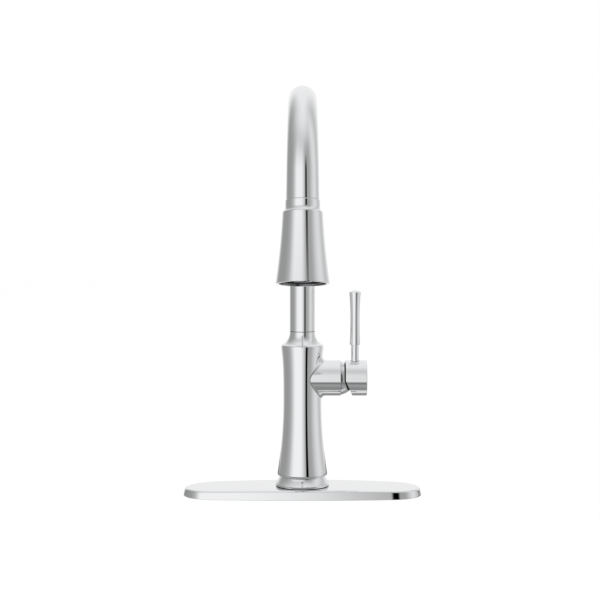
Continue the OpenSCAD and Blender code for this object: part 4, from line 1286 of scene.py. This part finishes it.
@dataclass
class Studio:
    """Camera, floor, soft light, and the cards that polished metal shows."""

    lens: float = 84.0
    camera_at: tuple[float, float, float] = (-0.0025, -1.4855, 0.2954)
    pitch: float = 3.34
    room: float = 0.55
    ceiling: ClassVar[Card] = Card(0, 180, 1, 60, 180, 50, 0.88)
    backdrop: ClassVar[Card] = Card(180, 40, 50, -180, 180, 1, 0.92)
    left_screen: ClassVar[Card] = Card(-110, 35, 45, -180, 40, 40, 0.35)
    softbox: ClassVar[Card] = Card(-25, 30, 35, -180, 40, 50, 1.0)
    right_screen: ClassVar[Card] = Card(35, 20, 30, -180, 45, 30, 0.40)
    right_panel: ClassVar[Card] = Card(90, 20, 40, -180, 60, 30, 0.80)
    black_strip: ClassVar[Card] = Card(24, 6, 5, -180, 30, 20, 0.0)
    matt_light: tuple[float, ...] = (0.66, 0.66, 0.67, 1.0)
    white: tuple[float, ...] = (1.0, 1.0, 1.0, 1.0)
    floor_tone: tuple[float, ...] = (0.9, 0.9, 0.9, 1.0)
    floor_glow: float = 1.06
    floor_glow_share: float = 0.86
    # Tones of the floor's painted reflection, seen only by glossy rays, and where it fades out.
    painted_floor_reflection: tuple[tuple[float, float], ...] = ((0.0, 0.27), (0.10, 0.28), (0.12, 0.34), (0.15, 0.38),
                                              (0.19, 0.30), (0.228, 0.21), (0.29, 0.20), (0.36, 0.36))
    painted_floor_reflection_end: tuple[tuple[float, float], ...] = ((0.27, 0.0), (0.39, 1.0))
    lamp_power: float = 9.0
    lamp_size: float = 1.2
    lamp_at: tuple[float, float, float] = (-0.5, -0.7, 1.4)
    lamp_turn: tuple[float, float, float] = (math.radians(28), 0.0, math.radians(-35))

    def camera(self) -> None:
        """Camera in front of the faucet at the height of the spout, looking slightly down."""
        data = bpy.data.cameras.new("camera")
        data.lens, data.sensor_width = self.lens, 36.0
        cam = bpy.data.objects.new("camera", data)
        cam.location = self.camera_at
        cam.rotation_euler = (math.radians(90 - self.pitch), 0, 0)
        bpy.context.scene.collection.objects.link(cam)
        bpy.context.scene.camera = cam

    def world(self) -> None:
        """World: white to the eye, even to matt surfaces, and the room with its cards to polished ones.

        Each card is laid over those before it. Its share is the product of its slopes, each of which
        runs from 0 to 1 across a soft edge.
        """
        world = bpy.data.worlds.new("studio")
        bpy.context.scene.world = world
        world.use_nodes = True
        world.node_tree.nodes.clear()
        add = Nodes(world.node_tree)
        where = add.nodes.new("ShaderNodeTexCoord")
        split = add.nodes.new("ShaderNodeSeparateXYZ")
        add.links.new(where.outputs["Generated"], split.inputs[0])
        x, y, z = split.outputs
        turn = add.calc("DEGREES", add.calc("ARCTAN2", x, add.calc("MULTIPLY", y, -1.0)))
        rise = add.calc("DEGREES", add.calc("ARCSINE", z))
        shown: object = (self.room, self.room, self.room, 1.0)
        for card in (self.ceiling, self.backdrop, self.left_screen, self.softbox, self.right_screen,
                     self.right_panel, self.black_strip):
            aside = add.calc("WRAP", add.calc("SUBTRACT", turn, card.middle), 180.0, -180.0)
            off = add.calc("ABSOLUTE", aside)
            side = add.slope(off, card.half + card.edge / 2, card.half - card.edge / 2)
            foot = add.slope(rise, card.low - card.fade / 2, card.low + card.fade / 2)
            head = add.slope(rise, card.high + card.fade / 2, card.high - card.fade / 2)
            share = add.calc("MULTIPLY", side, add.calc("MULTIPLY", foot, head))
            shown = add.mix(share, shown, (card.level, card.level, card.level, 1.0))
        light = add.nodes.new("ShaderNodeLightPath")
        lamps = []
        for colour in (shown, self.matt_light, self.white):
            lamps.append(add.nodes.new("ShaderNodeBackground"))
            add.feed(lamps[-1].inputs["Color"], colour)
        polished, matt, eye = [lamp.outputs[0] for lamp in lamps]
        seen = add.shaders(light.outputs["Is Glossy Ray"], matt, polished)
        out = add.nodes.new("ShaderNodeOutputWorld")
        add.links.new(add.shaders(light.outputs["Is Camera Ray"], seen, eye), out.inputs["Surface"])

    def floor(self) -> None:
        """Pale floor with the faucet's soft shadow.

        Polished metal sees a painted reflection instead: for glossy rays the floor glows in grey tones
        with a darker band near where it turns clear, and the cards past it show. The painted reflection's
        tones and its end are pairs of distance in metres and level.
        """
        ring = np.array([[0.0], [0.12], [0.3], [0.8], [6.0]])
        t = np.linspace(0, 2 * math.pi, 64, endpoint=False)
        grid = np.stack([ring * np.cos(t), ring * np.sin(t), 0 * ring * t - 0.0004], -1)
        obj = mesh_object("floor", *grid_shell(grid))
        if obj.data.polygons[0].normal.z < 0:
            obj.data.flip_normals()
        mat = bpy.data.materials.new("floor")
        mat.use_nodes = True
        add = Nodes(mat.node_tree)
        shader = add.nodes["Principled BSDF"]
        shader.inputs["Base Color"].default_value = self.floor_tone
        shader.inputs["Roughness"].default_value = 0.9
        shader.inputs["Specular IOR Level"].default_value = 0.0
        light = add.nodes.new("ShaderNodeLightPath")
        glow = add.nodes.new("ShaderNodeEmission")
        glow.inputs["Strength"].default_value = self.floor_glow
        eye = add.shaders(self.floor_glow_share, shader.outputs[0], glow.outputs[0])
        where = add.nodes.new("ShaderNodeTexCoord")
        flat = add.nodes.new("ShaderNodeVectorMath")
        flat.operation = "LENGTH"
        add.links.new(where.outputs["Object"], flat.inputs[0])
        reach = flat.outputs["Value"]
        # Glow seen only by glossy rays: a painted reflection of the floor, with a darker band towards its
        # edge.
        painted_floor_reflection = add.nodes.new("ShaderNodeEmission")
        add.feed(painted_floor_reflection.inputs["Color"], add.ramp(reach, self.painted_floor_reflection))
        clear = add.nodes.new("ShaderNodeBsdfTransparent")
        past = add.ramp(reach, self.painted_floor_reflection_end)
        metal = add.shaders(past, painted_floor_reflection.outputs[0], clear.outputs[0])
        other = add.shaders(light.outputs["Is Glossy Ray"], shader.outputs[0], metal)
        both = add.shaders(light.outputs["Is Camera Ray"], other, eye)
        add.links.new(both, add.nodes["Material Output"].inputs["Surface"])
        obj.data.materials.append(mat)

    def lamp(self) -> None:
        """One soft lamp overhead and in front, unseen by polished metal."""
        data = bpy.data.lights.new("soft_lamp", "AREA")
        data.energy, data.size = self.lamp_power, self.lamp_size
        obj = bpy.data.objects.new("soft_lamp", data)
        obj.location = self.lamp_at
        obj.rotation_euler = self.lamp_turn
        obj.visible_glossy = False
        bpy.context.scene.collection.objects.link(obj)

    def build(self) -> None:
        """Sets the studio up."""
        bpy.context.scene.view_settings.view_transform = "Standard"
        self.camera()
        self.world()
        self.floor()
        self.lamp()


def main() -> None:
    """Builds the studio and the faucet, piece by piece."""
    logging.basicConfig(level=logging.INFO, format="%(message)s")
    for part in (Studio(), DeckPlate(), Column(), Handle(), Spout(), SprayHead()):
        part.build()
        LOG.info("built %s", type(part).__name__)
    bpy.context.view_layer.update()


if __name__ == "__main__":
    main()
